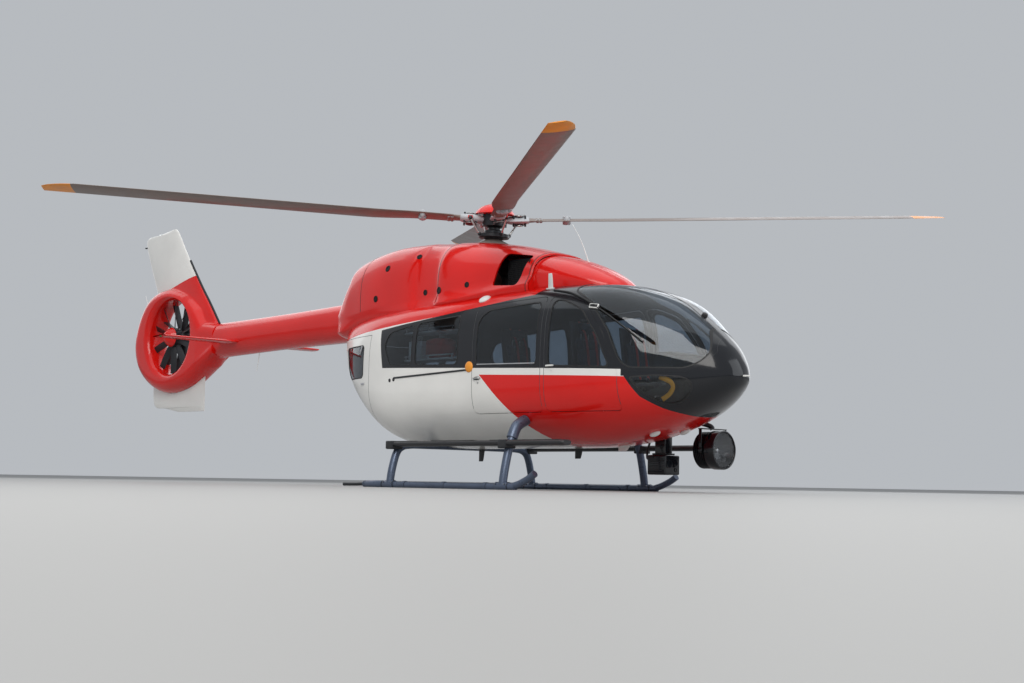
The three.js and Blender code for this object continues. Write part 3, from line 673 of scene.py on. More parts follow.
outlines = {
    "windshield": ((1.74, 2.42), (1.8, 2.165), (2.11, 2.0), (2.36, 1.68), (2.505, 1.36), (2.59, 1.285),
                   (3.12, 1.275), (3.25, 1.35), (3.305, 1.45), (3.26, 1.59), (3.19, 1.7), (3.0, 2.42)),
    "nose": ((2.53, 1.29), (2.56, 1.2), (2.7, 0.985), (2.86, 0.865), (3.1, 0.74), (3.7, 0.7),
             (3.7, 2.42), (3.036, 2.42), (3.226, 1.708), (3.296, 1.598), (3.344, 1.448), (3.275, 1.322),
             (3.13, 1.24), (2.575, 1.25)),
    "chinWindow": ((2.605, 1.19), (2.7, 1.05), (2.83, 0.945), (2.94, 0.9), (3.06, 0.94), (3.165, 1.05),
                   (3.175, 1.14), (3.09, 1.195), (2.85, 1.208)),
    "cockpitDoor": ((1.568, sill), (2.487, sill), (2.487, 1.25), (2.3, 1.665), (2.06, 1.985),
                    (1.76, 2.1), (1.568, 2.1)),
    "cockpitPane": ((1.612, 1.335), (2.41, 1.295), (2.24, 1.65), (2.02, 1.935), (1.745, 2.06),
                    (1.612, 2.06)),
    "slidingDoor": ((0.45, sill), (1.506, sill), (1.506, 2.105), (0.45, 2.065)),
    "slidingPane": ((0.505, 1.385), (1.455, 1.345), (1.455, 2.055), (0.62, 2.015), (0.505, 1.9)),
    "rearPane": ((-1.01, 1.45), (-0.6, 1.435), (-0.6, 1.94), (-1.06, 1.86), (-1.15, 1.7)),
    "middlePane": ((-0.55, 1.43), (0.2, 1.405), (0.2, 1.99), (-0.55, 1.945)),
    "clamshell": ((-1.456, 0.3), (-1.456, 1.85), (-2.7, 1.85), (-2.7, 0.3)),
    "clamshellPane": ((-1.6, 1.33), (-1.6, 1.74), (-2.18, 1.74), (-2.04, 1.33)),
    "intake": ((0.46, 2.33), (0.565, 2.71), (0.93, 2.66), (0.845, 2.3)),
}
starboard = (-hull["far"], -0.12)
across = (-hull["far"], hull["far"])


def hullMesh(inset=0.0):
    return meshOf(addBody, hullRows, inset)


def shellMesh(outer, inner):
    # The wall between two sizes of the hull
    bm = bmesh.new()
    addBody(bm, hullRows, outer)
    bmesh.ops.recalc_face_normals(bm, faces=bm.faces)
    outerFaces = set(bm.faces)
    addBody(bm, hullRows, inner)
    innerFaces = [face for face in bm.faces if face not in outerFaces]
    bmesh.ops.recalc_face_normals(bm, faces=innerFaces)
    bmesh.ops.reverse_faces(bm, faces=innerFaces)
    mesh = bpy.data.meshes.new("shell")
    bm.to_mesh(mesh)
    bm.free()
    return mesh


def cutter(name, grow=0.0, corner=0.06, reach=across):
    return meshOf(addPrism, outlines[name], *reach, grow=grow, corner=corner)


smoothHull = bpy.data.objects.new("smoothHull", hullMesh())
hullTree = BVHTree.FromPolygons([v.co for v in smoothHull.data.vertices],
                                [p.vertices for p in smoothHull.data.polygons])


def dressSkin(mesh, depth=0.028):
    # Slot 0 on the outer skin and the edges, slot 1 on the inner face
    for face in mesh.polygons:
        hit = hullTree.find_nearest(face.center)
        face.material_index = 1 if hit[3] > depth else 0


def takeNormals(piece):
    # The outer skin of a panel is shaded as the whole hull is, so panels meet without a break
    source = smoothHull.data.copy()
    source.transform(toFrame)
    source.shade_smooth()
    whole = bpy.data.objects.new("whole", source)
    scene.collection.objects.link(whole)
    group = piece.vertex_groups.new(name="skin")
    near = [v.index for v in piece.data.vertices
            if hullTree.find_nearest(v.co - Vector((shift, 0, 0)))[3] < 0.0015]
    group.add(near, 1, "REPLACE")
    modifier = piece.modifiers.new("normals", "DATA_TRANSFER")
    modifier.object = whole
    modifier.use_loop_data = True
    modifier.data_types_loops = {"CUSTOM_NORMAL"}
    modifier.loop_mapping = "POLYINTERP_NEAREST"
    modifier.vertex_group = "skin"
    graph = bpy.context.evaluated_depsgraph_get()
    shaded = bpy.data.meshes.new_from_object(piece.evaluated_get(graph))
    piece.modifiers.clear()
    piece.vertex_groups.clear()
    old = piece.data
    piece.data = shaded
    shaded.name = old.name
    bpy.data.meshes.remove(old)
    bpy.data.objects.remove(whole)
    bpy.data.meshes.remove(source)


def panel(name, mesh, body="root", stands=(), outside="livery"):
    dressSkin(mesh)
    piece = finishMesh(name, mesh, (outside, "trim"), body, stands, sharp=40)
    takeNormals(piece)
    return piece


def makeCabinFrame():
    mesh = shellMesh(0, hull["wall"])
    mesh = keep(mesh, meshOf(addBox, (-2.6, -hull["far"], hull["floor"]), (3.7, hull["far"], 2.6)))
    mesh = drop(mesh, cutter("nose", hull["seat"], 0))
    for reach in (starboard, (0.12, hull["far"])):
        for name in ("cockpitDoor", "slidingDoor"):
            mesh = drop(mesh, cutter(name, hull["gap"], 0.06, reach))
        for name in ("rearPane", "middlePane"):
            mesh = drop(mesh, cutter(name, 0, 0.06, reach))
    mesh = drop(mesh, cutter("clamshell", hull["gap"], 0))
    for side in (-1, 1):
        near, far = sorted((side * 0.06, side * hull["far"]))
        mesh = drop(mesh, cutter("windshield", hull["seat"], 0.06, (near, far)))
    panel("cabinFrame", mesh, stands="cabin_frame")


def makeLowerFuselage():
    mesh = keep(hullMesh(), meshOf(addBox, (-1.45, -hull["far"], 0), (3.7, hull["far"], hull["floor"])))
    mesh = drop(mesh, cutter("nose", 0, 0))
    for face in mesh.polygons:
        face.material_index = 1 if face.normal.z > 0.98 and face.center.z > hull["floor"] - 0.001 else 0
    piece = finishMesh("lowerFuselage", mesh, ("livery", "floor"), "root", "lower_fuselage", 40)
    takeNormals(piece)


def makeNose():
    mesh = keep(shellMesh(0, hull["wall"]), cutter("nose", -hull["seat"], 0))
    for side in (-1, 1):
        near, far = sorted((side * 0.06, side * hull["far"]))
        mesh = drop(mesh, cutter("chinWindow", 0, 0.06, (near, far)))
    panel("noseShell", mesh, stands="nose_shell", outside="black")


def makeDoors():
    doors = (
        # piece, outline, pane, corner, inner edge, body, node
        ("slidingDoor", "slidingDoor", "slidingPane", 0.07, 0.12, None, "sliding_door"),
        ("cockpitDoor", "cockpitDoor", "cockpitPane", 0.06, 0.12, "cockpit_door", "cockpit_door"),
        ("clamshellDoor", "clamshell", "clamshellPane", 0.06, hull["gap"] / 2, "clamshell", "clamshell_door"),
    )
    for name, outline, pane, corner, inner, body, node in doors:
        for word, side in sides:
            near, far = sorted((side * inner, side * hull["far"]))
            mesh = keep(shellMesh(0, hull["wall"]), cutter(outline, 0, 0.06 if body != "clamshell" else 0,
                                                           (near, far)))
            mesh = drop(mesh, cutter(pane, 0, corner, (near, far)))
            panel(f"{name}_{word}", mesh, f"{word}_{body}" if body else "root",
                  f"{node}_{word}")


def makeGlass():
    glass = {"outer": 0.0025, "inner": 0.0085, "seal": 0.011}
    panes = (
        # piece, outline, corner, inner edge, body, replaced node
        ("windshield", "windshield", 0.06, 0.0604, None, "windshield"),
        ("chinWindow", "chinWindow", 0.06, 0.06, None, "chin_window"),
        ("middleWindow", "middlePane", 0.06, 0.12, None, None),
        ("rearWindow", "rearPane", 0.06, 0.12, None, "rear_window"),
        ("slidingDoorGlass", "slidingPane", 0.07, 0.12, None, "sliding_door_glass"),
        ("cockpitDoorGlass", "cockpitPane", 0.06, 0.12, "cockpit_door", "cockpit_door_glass"),
        ("clamshellGlass", "clamshellPane", 0.06, 0.12, "clamshell", "clamshell_glass"),
    )
    for name, outline, corner, inner, body, node in panes:
        for word, side in sides:
            near, far = sorted((side * inner, side * hull["far"]))
            rider = f"{word}_{body}" if body else "root"
            mesh = keep(shellMesh(glass["outer"], glass["inner"]), cutter(outline, 0, corner, (near, far)))
            finishMesh(f"{name}_{word}", mesh, "chin" if name == "chinWindow" else "glass", rider,
                       f"{node}_{word}" if node else (), 40)
            seal = keep(shellMesh(-0.0012, glass["inner"] + 0.006),
                        cutter(outline, 0.003, corner, (near, far)))
            seal = drop(seal, cutter(outline, -glass["seal"], corner, (near, far)))
            finishMesh(f"{name}Seal_{word}", seal, "rubber", rider, (), 40)


makeCabinFrame()
makeLowerFuselage()
makeNose()
makeDoors()
makeGlass()
print("hull: panels, doors and glass are made")

# Cowling, fairing and exhausts

cowling = {"wall": 0.02, "flare": 0.065, "flareHeight": 0.15, "baseZ": 2.215, "baseSlope": 0.1,
           "rearLean": 0.2, "leanFrom": -2.06, "leanTo": -2.37, "leanTop": 2.6, "leanDepth": 0.4}
cowlingRows = (
    # x, low, high, half, wide, topPower, lowPower
    (1.000, 2.150, 2.700, 0.575, 2.320, 2.6, 4.0),
    (0.950, 2.140, 2.735, 0.600, 2.320, 2.7, 4.0),
    (0.500, 2.120, 2.850, 0.655, 2.320, 2.9, 4.0),
    (0.000, 2.085, 2.935, 0.698, 2.320, 3.0, 4.0),
    (-0.360, 2.070, 2.975, 0.708, 2.320, 3.0, 4.0),
    (-0.520, 2.060, 2.985, 0.676, 2.320, 2.9, 4.0),
    (-0.820, 2.050, 3.010, 0.668, 2.320, 2.8, 4.0),
    (-1.000, 2.045, 3.025, 0.700, 2.320, 2.8, 4.0),
    (-1.500, 2.030, 3.030, 0.690, 2.320, 2.8, 4.0),
    (-1.900, 2.000, 2.985, 0.650, 2.320, 2.8, 4.0),
    (-2.200, 1.950, 2.920, 0.590, 2.310, 2.9, 4.0),
    (-2.320, 1.900, 2.870, 0.545, 2.300, 3.0, 4.0),
    (-2.370, 1.900, 2.810, 0.500, 2.290, 3.0, 4.0),
)
fairingRows = (
    (1.960, 2.190, 2.250, 0.100, 2.215, 2.0, 4.0),
    (1.905, 2.150, 2.325, 0.210, 2.240, 2.0, 4.0),
    (1.800, 2.150, 2.400, 0.310, 2.260, 2.1, 4.0),
    (1.600, 2.190, 2.505, 0.405, 2.290, 2.2, 4.0),
    (1.300, 2.200, 2.620, 0.490, 2.310, 2.3, 4.0),
    (1.0004, 2.200, 2.695, 0.540, 2.320, 2.4, 4.0),
)
boomRows = (
    (-2.4404, 1.915, 2.446, 0.260, 2.180, 2.4, 2.4),
    (-2.9000, 1.912, 2.430, 0.230, 2.170, 2.3, 2.3),
    (-4.4000, 1.893, 2.388, 0.205, 2.140, 2.1, 2.1),
    (-5.9600, 1.850, 2.365, 0.180, 2.110, 2.0, 2.0),
)


def ramp(value, low, high):
    return min(max((value - low) / (high - low), 0), 1)


def addCowling(bm, inset=0.0, perRow=8):
    def place(ring, turn):
        row = blendRows(cowlingRows, ring / perRow)
        point = bodyPoint(row, turn, inset)
        base = cowling["baseZ"] + cowling["baseSlope"] * row[0]
        near = 1 - ramp(point.z, base, base + cowling["flareHeight"])
        point.y += math.copysign(cowling["flare"] * near * near * min(abs(point.y) / 0.4, 1), point.y)
        lean = ramp(row[0], cowling["leanFrom"], cowling["leanTo"]) ** 2
        low = ramp(cowling["leanTop"] - point.z, 0, cowling["leanDepth"])
        point.x -= cowling["rearLean"] * lean * low
        if ring == 0:
            point.x -= inset
        if ring == (len(cowlingRows) - 1) * perRow:
            point.x += inset
        return point

    sheath(bm, (len(cowlingRows) - 1) * perRow + 1, 112, place)


def seatOnHull(mesh):
    return drop(mesh, hullMesh(-hull["seat"]))


def cylinderMesh(start, end, radius, around=48):
    return meshOf(addRod, start, end, radius, around=around)


def makeCowling():
    mesh = drop(meshOf(addCowling), meshOf(addCowling, cowling["wall"]))
    mesh = seatOnHull(mesh)
    mesh = drop(mesh, meshOf(addBody, ((-2.2, *boomRows[0][1:]), *boomRows), -0.001))
    for side in (-1, 1):
        near, far = sorted((side * 0.38, side * hull["far"]))
        mesh = drop(mesh, cutter("intake", 0, 0.04, (near, far)))
        mesh = drop(mesh, cylinderMesh((-2.2, side * pipe["y"], pipe["z"]),
                                       (-2.9, side * pipe["y"], pipe["z"]), pipe["radius"] + 0.012))
    mastX = rotor["hubX"] - 0.015
    mesh = drop(mesh, cylinderMesh((mastX, 0, 2.7), (mastX, 0, 3.3), 0.25, 64))
    finishMesh("engineCowling", mesh, "red", "root", "engine_cowling", 38)


def makeFairing():
    mesh = seatOnHull(meshOf(addBody, fairingRows, perRow=8))
    finishMesh("frontFairing", mesh, "red", "root", "front_fairing", 38)


pipe = {"y": 0.175, "z": 2.54, "start": -1.9004, "end": -2.655, "bore": 0.1, "radius": 0.118, "lip": 0.122}


def makeExhausts():
    length = pipe["start"] - pipe["end"]
    profile = (
        (pipe["bore"], 0), (pipe["radius"], 0), (pipe["radius"], length - 0.04),
        (pipe["lip"], length - 0.03), (pipe["lip"], length - 0.004), (pipe["lip"] - 0.004, length),
        (pipe["bore"] + 0.006, length), (pipe["bore"], length - 0.012), (pipe["bore"], 0),
    )
    for word, side in sides:
        bm = bmesh.new()
        addLathe(bm, profile, (pipe["start"], side * pipe["y"], pipe["z"]), (-1, 0, 0), 72)
        finish(f"exhaustPipe_{word}", bm, "hot", "root", f"exhaust_{word}")


makeCowling()
makeFairing()
makeExhausts()
print("top: cowling, fairing and exhausts are made")


# Tail

fan = {"x": -7.16, "y": -0.06, "z": 2.22, "tip": 0.56, "duct": 0.575, "blades": 10, "vanes": 10,
       "side": 0.205, "lip": 0.1, "rounding": 0.18, "seatRounding": 0.07}
shroudOutline = (
    (-5.70, 2.35), (-6.27, 2.40), (-6.44, 2.62), (-6.8, 2.85), (-7.3, 2.985), (-7.76, 2.89), (-8.05, 2.59),
    (-8.19, 2.15), (-8.07, 1.76), (-7.72, 1.48), (-7.25, 1.36), (-6.7, 1.44), (-6.28, 1.64), (-5.70, 1.94),
)
shroudNeck = {"x": -6.0, "z": 2.11, "narrow": 0.84, "low": 0.8}
flareRows = (
    (-5.9000, 1.852, 2.366, 0.181, 2.110, 2.0, 2.0),
    (-6.0000, 1.846, 2.367, 0.182, 2.108, 2.0, 2.0),
    (-6.1500, 1.775, 2.385, 0.192, 2.090, 2.1, 2.1),
    (-6.3500, 1.625, 2.470, 0.203, 2.080, 2.3, 2.3),
    (-6.5500, 1.540, 2.600, 0.203, 2.060, 2.4, 2.4),
)
finRows = (
    # z, front x, rear x, thickness
    (2.370, -6.040, -7.600, 0.250),
    (2.700, -6.310, -7.700, 0.190),
    (3.000, -6.570, -7.810, 0.140),
    (3.400, -6.890, -8.010, 0.108),
    (3.830, -7.205, -8.165, 0.080),
    (3.885, -7.250, -7.820, 0.068),
    (3.934, -7.310, -7.420, 0.044),
)
lowerFinRows = (
    (1.700, -6.370, -7.810, 0.090),
    (1.200, -6.365, -7.765, 0.080),
    (1.130, -6.362, -7.420, 0.066),
    (1.071, -6.360, -7.060, 0.044),
)
tailplaneZ = 2.045
tailplaneRows = (
    # y, front x, rear x, thickness
    (0.150, -5.290, -5.740, 0.072),
    (1.250, -5.340, -5.690, 0.056),
    (1.290, -5.360, -5.687, 0.044),
    (1.309, -5.390, -5.680, 0.026),
)


def foilPoint(row, turn):
    # span, chord and thickness place of a point of a wing-like section
    span, front, rear, thickness = row
    along = 0.5 + 0.5 * math.cos(turn)
    depth = math.sin(turn) * (0.25 + 0.75 * math.sqrt(along)) * thickness / 2
    return span, rear + (front - rear) * along, depth


def addFoil(bm, rows, toPlace, around=48, perRow=8, material=0):
    def place(ring, turn):
        return toPlace(*foilPoint(blendRows(rows, ring / perRow), turn))

    sheath(bm, (len(rows) - 1) * perRow + 1, around, place, material)


def uprightFoil(span, chord, depth):
    return Vector((chord, depth, span))


def remeshed(mesh, voxel, smoothing):
    # Overlapping closed shapes become one skin with softened joints
    piece = bpy.data.objects.new("remeshed", mesh)
    scene.collection.objects.link(piece)
    remesh = piece.modifiers.new("remesh", "REMESH")
    remesh.mode = "VOXEL"
    remesh.voxel_size = voxel
    smooth = piece.modifiers.new("smooth", "SMOOTH")
    smooth.factor = 0.5
    smooth.iterations = smoothing
    graph = bpy.context.evaluated_depsgraph_get()
    made = bpy.data.meshes.new_from_object(piece.evaluated_get(graph))
    bpy.data.objects.remove(piece)
    bpy.data.meshes.remove(mesh)
    return made


def addShroud(bm, side, roundness, segments):
    # The outline as a smooth curve, drawn out across and rounded over at both faces
    points = [Vector(point) for point in shroudOutline]
    curve = []
    for k in range(2, len(points) - 1):
        for step in range(4):
            curve.append(Vector(blendRows(points[2:], k - 2 + step / 4)))
    outline = points[:2] + curve + [points[-1]]
    verts = [bm.verts.new((point.x, -side, point.y)) for point in outline]
    face = bm.faces.new(verts)
    grownUp = bmesh.ops.extrude_face_region(bm, geom=[face])["geom"]
    moved = [item for item in grownUp if isinstance(item, bmesh.types.BMVert)]
    bmesh.ops.translate(bm, vec=(0, 2 * side, 0), verts=moved)
    bmesh.ops.recalc_face_normals(bm, faces=bm.faces)
    rims = [edge for edge in bm.edges if len({round(v.co.y, 4) for v in edge.verts}) == 1]
    bmesh.ops.bevel(bm, geom=rims, offset=roundness, segments=segments, profile=0.5, affect="EDGES",
                    material=-1, clamp_overlap=True)
    for vert in bm.verts:
        if vert.co.x > shroudNeck["x"]:
            vert.co.y *= shroudNeck["narrow"]
            vert.co.z = shroudNeck["z"] + (vert.co.z - shroudNeck["z"]) * shroudNeck["low"]


def finJoint(gap):
    # Everything below the slanting joint between the fin and its foot
    return meshOf(addPrism, ((-5.8, 3.38 + gap), (-5.8, 1.2), (-8.4, 1.2), (-8.4, 2.72 + gap)), -0.4, 0.4)


def finMesh():
    return meshOf(addFoil, finRows, uprightFoil)


def makeShroud():
    shroud = meshOf(addShroud, fan["side"], fan["rounding"], 8)
    foot = keep(finMesh(), finJoint(0.05))
    bm = bmesh.new()
    for mesh in (shroud, foot, meshOf(addBody, flareRows)):
        bm.from_mesh(mesh)
    both = bpy.data.meshes.new("both")
    bm.to_mesh(both)
    bm.free()
    mesh = remeshed(both, 0.013, 16)
    mesh = keep(mesh, finJoint(0))
    mesh = keep(mesh, meshOf(addBox, (-9, -1, 0), (-5.9604, 1, 4)))
    lip = fan["lip"]
    profile = [(0, -0.4), (fan["duct"] + lip + 0.03, -0.4), (fan["duct"] + lip + 0.03, -0.206)]
    for step in range(9):
        angle = step / 8 * math.pi / 2
        profile.append((fan["duct"] + lip * (1 - math.sin(angle)), -0.206 + lip * (1 - math.cos(angle))))
    profile += [(radius, -height) for radius, height in reversed(profile)]
    duct = meshOf(addLathe, profile, (fan["x"], 0, fan["z"]), (0, 1, 0), 128)
    mesh = drop(mesh, duct)
    finishMesh("fanShroud", mesh, "red", "root", "fan_shroud", 40)


def makeFins():
    fin = drop(finMesh(), finJoint(hull["seat"]))
    finishMesh("upperFin", fin, "white", "root", "upper_fin", 40)
    low = meshOf(addFoil, lowerFinRows, uprightFoil)
    low = drop(low, meshOf(addShroud, fan["side"], fan["seatRounding"], 2))
    finishMesh("lowerFin", low, "white", "root", "lower_fin", 40)
    for word, side in sides:
        plane = meshOf(addFoil, tailplaneRows,
                       lambda span, chord, depth: Vector((chord, side * span, tailplaneZ + depth)))
        mesh = drop(plane, meshOf(addBody, boomRows, -hull["seat"]))
        finishMesh(f"stabilizer_{word}", mesh, "red", "root", f"stabilizer_{word}", 40)


def makeBoom():
    bm = bmesh.new()
    addBody(bm, boomRows, perRow=10)
    finish("tailBoom", bm, "red", "root", "tail_boom")


def makeFan():
    hubProfile = ((0, -0.065), (0.11, -0.065), (0.148, -0.05), (0.15, 0.05), (0.145, 0.065), (0, 0.065))
    hubY = 0.105 - (0.2 + 0.13) / 2 - 0.0004
    bm = bmesh.new()
    addLathe(bm, hubProfile, (fan["x"], hubY, fan["z"]), (0, 1, 0), 64)
    cone = ((0, -0.19), (0.03, -0.186), (0.07, -0.166), (0.105, -0.13), (0.134, -0.09), (0.148, -0.0655),
            (0, -0.0655))
    addLathe(bm, cone, (fan["x"], hubY, fan["z"]), (0, 1, 0), 64, material=1)
    bladeRows = (
        # distance from the axis, half chord, thickness, pitch
        (0.13, 0.020, 0.020, 42), (0.17, 0.036, 0.016, 42), (0.24, 0.047, 0.013, 38),
        (0.38, 0.050, 0.010, 33), (0.5, 0.050, 0.008, 29), (0.559, 0.048, 0.006, 27),
    )
    for blade in range(fan["blades"]):
        turnBlade = Matrix.Rotation(blade / fan["blades"] * 2 * math.pi, 4, "Y")

        def place(ring, turn, turnBlade=turnBlade):
            reach, half, thick, pitch = blendRows(bladeRows, ring / 3)
            pitch = math.radians(pitch)
            span, chord, depth = foilPoint((reach, half, -half, thick), turn)
            point = Vector((chord * math.cos(pitch) + depth * math.sin(pitch),
                            -chord * math.sin(pitch) + depth * math.cos(pitch), span))
            return turnBlade @ point + Vector((fan["x"], fan["y"], fan["z"]))

        sheath(bm, (len(bladeRows) - 1) * 3 + 1, 20, place)
    finish("tailFan", bm, ("dark", "red"), "tail_rotor", "tail_fan", 40)


def makeStator():
    bm = bmesh.new()
    gearbox = ((0, -0.1), (0.1, -0.1), (0.11, -0.09), (0.13, 0.06), (0.125, 0.09), (0.1, 0.1), (0, 0.1))
    addLathe(bm, gearbox, (fan["x"], 0.105, fan["z"]), (0, 1, 0), 64)
    for vane in range(fan["vanes"]):
        turnVane = Matrix.Rotation(vane / fan["vanes"] * 2 * math.pi + 0.2, 4, "Y")

        def place(ring, turn, turnVane=turnVane):
            span, chord, depth = foilPoint((0.06 + ring * 0.0642, 0.055, -0.055, 0.018), turn)
            return turnVane @ Vector((depth, chord, span)) + Vector((fan["x"], 0.09, fan["z"]))

        sheath(bm, 9, 20, place)
    finish("fanStator", bm, "dark", "root", "fan_stator", 40)


makeBoom()
makeShroud()
makeFins()
makeFan()
makeStator()
print("tail: boom, shroud, fins, fan and vanes are made")


# Main rotor, made round the hub and leaned forward with the mast

hubPlace = (Matrix.Translation((rotor["hubX"], 0, rotor["hubZ"]))
            @ Matrix.Rotation(math.radians(rotor["tilt"]), 4, "Y"))
bladeRows = (
    # distance from the mast, front edge, rear edge, thickness
    (0.4204, 0.078, -0.078, 0.070),
    (0.500, 0.096, -0.098, 0.055),
    (0.560, 0.117, -0.121, 0.042),
    (0.780, 0.119, -0.130, 0.039),
    (1.000, 0.118, -0.140, 0.038),
    (1.200, 0.107, -0.177, 0.038),
    (1.400, 0.097, -0.208, 0.038),
    (1.700, 0.095, -0.225, 0.038),
    (3.300, 0.095, -0.225, 0.037),
    (4.900, 0.095, -0.225, 0.036),
    (5.100, 0.087, -0.225, 0.033),
    (5.280, 0.052, -0.225, 0.027),
    (5.420, -0.004, -0.225, 0.020),
    (5.499, -0.060, -0.225, 0.012),
)


def bladeTurn(angle, rise):
    return (Matrix.Rotation(math.radians(angle), 4, "Z") @ Matrix.Rotation(math.radians(-rise), 4, "Y")
            @ Matrix.Rotation(math.radians(rotor["pitch"]), 4, "X"))


def makeBlades():
    bolt = ((0, -0.055), (0.04, -0.055), (0.05, -0.046), (0.05, 0.046), (0.04, 0.055), (0, 0.055))
    for number, (angle, rise) in enumerate(rotor["blades"], 1):
        bm = bmesh.new()
        addFoil(bm, bladeRows, lambda span, chord, depth: Vector((span, chord, depth)), 40, 6)
        addLathe(bm, bolt, (0.88, 0, 0), (0, 0, 1), 32, material=1)
        for chord in (-0.062, 0.062):
            addBall(bm, (0.88, chord, 0), (0.036, 0.036, 0.05), material=1)
        for x in (0.52, 0.56):
            addRod(bm, (x, -0.08, 0), (x, 0.08, 0), 0.026, around=16, material=1, bevel=0.006)
        finish(f"rotorBlade_{number}", bm, ("blade", "cuff"), "main_rotor",
               f"rotor_blade_{number}", 40, hubPlace @ bladeTurn(angle, rise))


armRows = (
    # distance from the mast, front edge, rear edge, thickness
    (0.10, 0.060, -0.060, 0.080), (0.15, 0.070, -0.070, 0.094), (0.20, 0.086, -0.086, 0.118),
    (0.26, 0.092, -0.092, 0.123), (0.34, 0.094, -0.094, 0.124), (0.39, 0.090, -0.090, 0.112),
    (0.419, 0.078, -0.078, 0.090),
)


def makeHub():
    bm = bmesh.new()
    mast = (
        (0, -0.4496), (0.072, -0.4496), (0.072, -0.232), (0.112, -0.23), (0.12, -0.224), (0.12, -0.216),
        (0.18, -0.215), (0.19, -0.206), (0.19, -0.174), (0.18, -0.165), (0.12, -0.164), (0.12, -0.13),
        (0.11, -0.12), (0.075, -0.118), (0.075, -0.09), (0.11, -0.078), (0.15, -0.068), (0.152, 0.068),
        (0.14, 0.072), (0, 0.072),
    )
    addLathe(bm, mast, (0, 0, 0), (0, 0, 1), 64)
    for angle, rise in rotor["blades"]:
        turn = bladeTurn(angle, rise)
        addFoil(bm, armRows, lambda span, chord, depth, turn=turn: turn @ Vector((span, chord, depth)), 32,
                4, 1)
        for low, high in ((-0.068, -0.05), (0.05, 0.068)):
            addRod(bm, turn @ Vector((0.3, 0, low)), turn @ Vector((0.3, 0, high)), 0.06, around=32,
                   material=2, bevel=0.006)
        for chord in (-0.05, 0.05):
            for span in (0.23, 0.37):
                addRod(bm, turn @ Vector((span, chord, -0.07)), turn @ Vector((span, chord, 0.07)), 0.012,
                       around=12, material=2, bevel=0.003)
        addRod(bm, turn @ Vector((0.175, 0.03, -0.19)), turn @ Vector((0.3, 0.105, -0.02)), 0.013, around=16,
               material=2)
        for place in ((0.175, 0.03, -0.19), (0.3, 0.105, -0.02)):
            addBall(bm, turn @ Vector(place), (0.024, 0.024, 0.024), material=0, around=16)
        addBox(bm, (0.27, 0.07, -0.02), (0.33, 0.12, 0.012), 0.008, 2, 3, turn)
    finish("rotorHub", bm, ("dark", "cuff", "steel", "red"), "main_rotor",
           "rotor_mast_and_hub", 35, hubPlace)


def makeBoot():
    # Ribbed cone on the cowling round the foot of the mast
    profile = [(0.085, -0.2)]
    for rib in range(9):
        radius = 0.1 + rib * 0.017
        height = -0.24 - rib * 0.008
        profile += [(radius, height + 0.004), (radius + 0.01, height)]
    profile += [(0.262, -0.318), (0.262, -0.345), (0.09, -0.345)]
    bm = bmesh.new()
    addLathe(bm, profile + [profile[0]], (0, 0, 0), (0, 0, 1), 72)
    finish("mastBoot", bm, "boot", "root", (), 30, hubPlace)


def makeCap():
    profile = ((0, 0.205), (0.04, 0.203), (0.09, 0.195), (0.14, 0.178), (0.18, 0.156), (0.212, 0.126),
               (0.235, 0.095), (0.244, 0.0745), (0.238, 0.0706), (0, 0.0706))
    bm = bmesh.new()
    addLathe(bm, profile, (0, 0, 0), (0, 0, 1), 96)
    finish("rotorCap", bm, "red", "main_rotor", "rotor_cap", 50, hubPlace)


makeBlades()
makeHub()
makeCap()
makeBoot()
print("rotor: blades, hub, cap and mast boot are made")


# Landing gear

gear = {"skidY": 1.19, "skidRadius": 0.038, "frontX": 1.21, "rearX": -0.65, "tube": 0.046}
frontTubePath = ((1.19, 0.05), (1.165, 0.2), (1.09, 0.48), (0.985, 0.69), (0.84, 0.765), (0.6, 0.775))
rearTubePath = ((1.19, 0.05), (1.165, 0.2), (1.105, 0.39), (1.03, 0.47), (0.9, 0.5), (0.6, 0.505))
skidPath = ((-1.1, 0.033), (-0.7, 0.033), (1.2, 0.033), (1.4, 0.048), (1.57, 0.108), (1.69, 0.175))

frontSleevePath = ((1.06, 0.555), (0.985, 0.69), (0.85, 0.762))
skidCollars = (
    # x from and to, radius: wear pad, rear clamp, front clamp
    (-1.06, -0.76, 0.044), (-0.74, -0.56, 0.048), (1.11, 1.31, 0.048),
)


def makeSkids():
    for word, side in sides:
        y = side * gear["skidY"]
        bm = bmesh.new()
        addTube(bm, [(x, y, z) for x, z in skidPath], gear["skidRadius"], 24, 10)
        for start, end, radius in skidCollars:
            addRod(bm, (start, y, 0.036), (end, y, 0.036), radius, around=32, material=1, bevel=0.006)
        for x in (gear["frontX"], gear["rearX"]):
            for step in (-0.07, 0.07):
                addRod(bm, (x + step, y - 0.055, 0.062), (x + step, y + 0.055, 0.062), 0.009, around=12,
                       material=2, bevel=0.002)
        for x in (-0.42, 0.25, 0.92):
            addRod(bm, (x, y, 0.036), (x + 0.06, y, 0.036), 0.042, around=32, material=1, bevel=0.004)
        addRod(bm, (-1.112, y, 0.036), (-1.09, y, 0.036), gear["skidRadius"] + 0.002, around=32, material=1,
               bevel=0.004)
        addTube(bm, ((-1.08, y, 0.036), (-1.3, y, 0.03), (-1.5, y, 0.028)), 0.02, 20, 8, 1)
        bmesh.ops.bisect_plane(bm, geom=bm.verts[:] + bm.edges[:] + bm.faces[:], plane_co=(0, 0, 0.0),
                               plane_no=(0, 0, 1), clear_inner=True)
        bmesh.ops.holes_fill(bm, edges=[edge for edge in bm.edges if edge.is_boundary], sides=0)
        finish(f"skidTube_{word}", bm, ("gear", "dark", "steel"), "root", f"skid_{word}", 40)


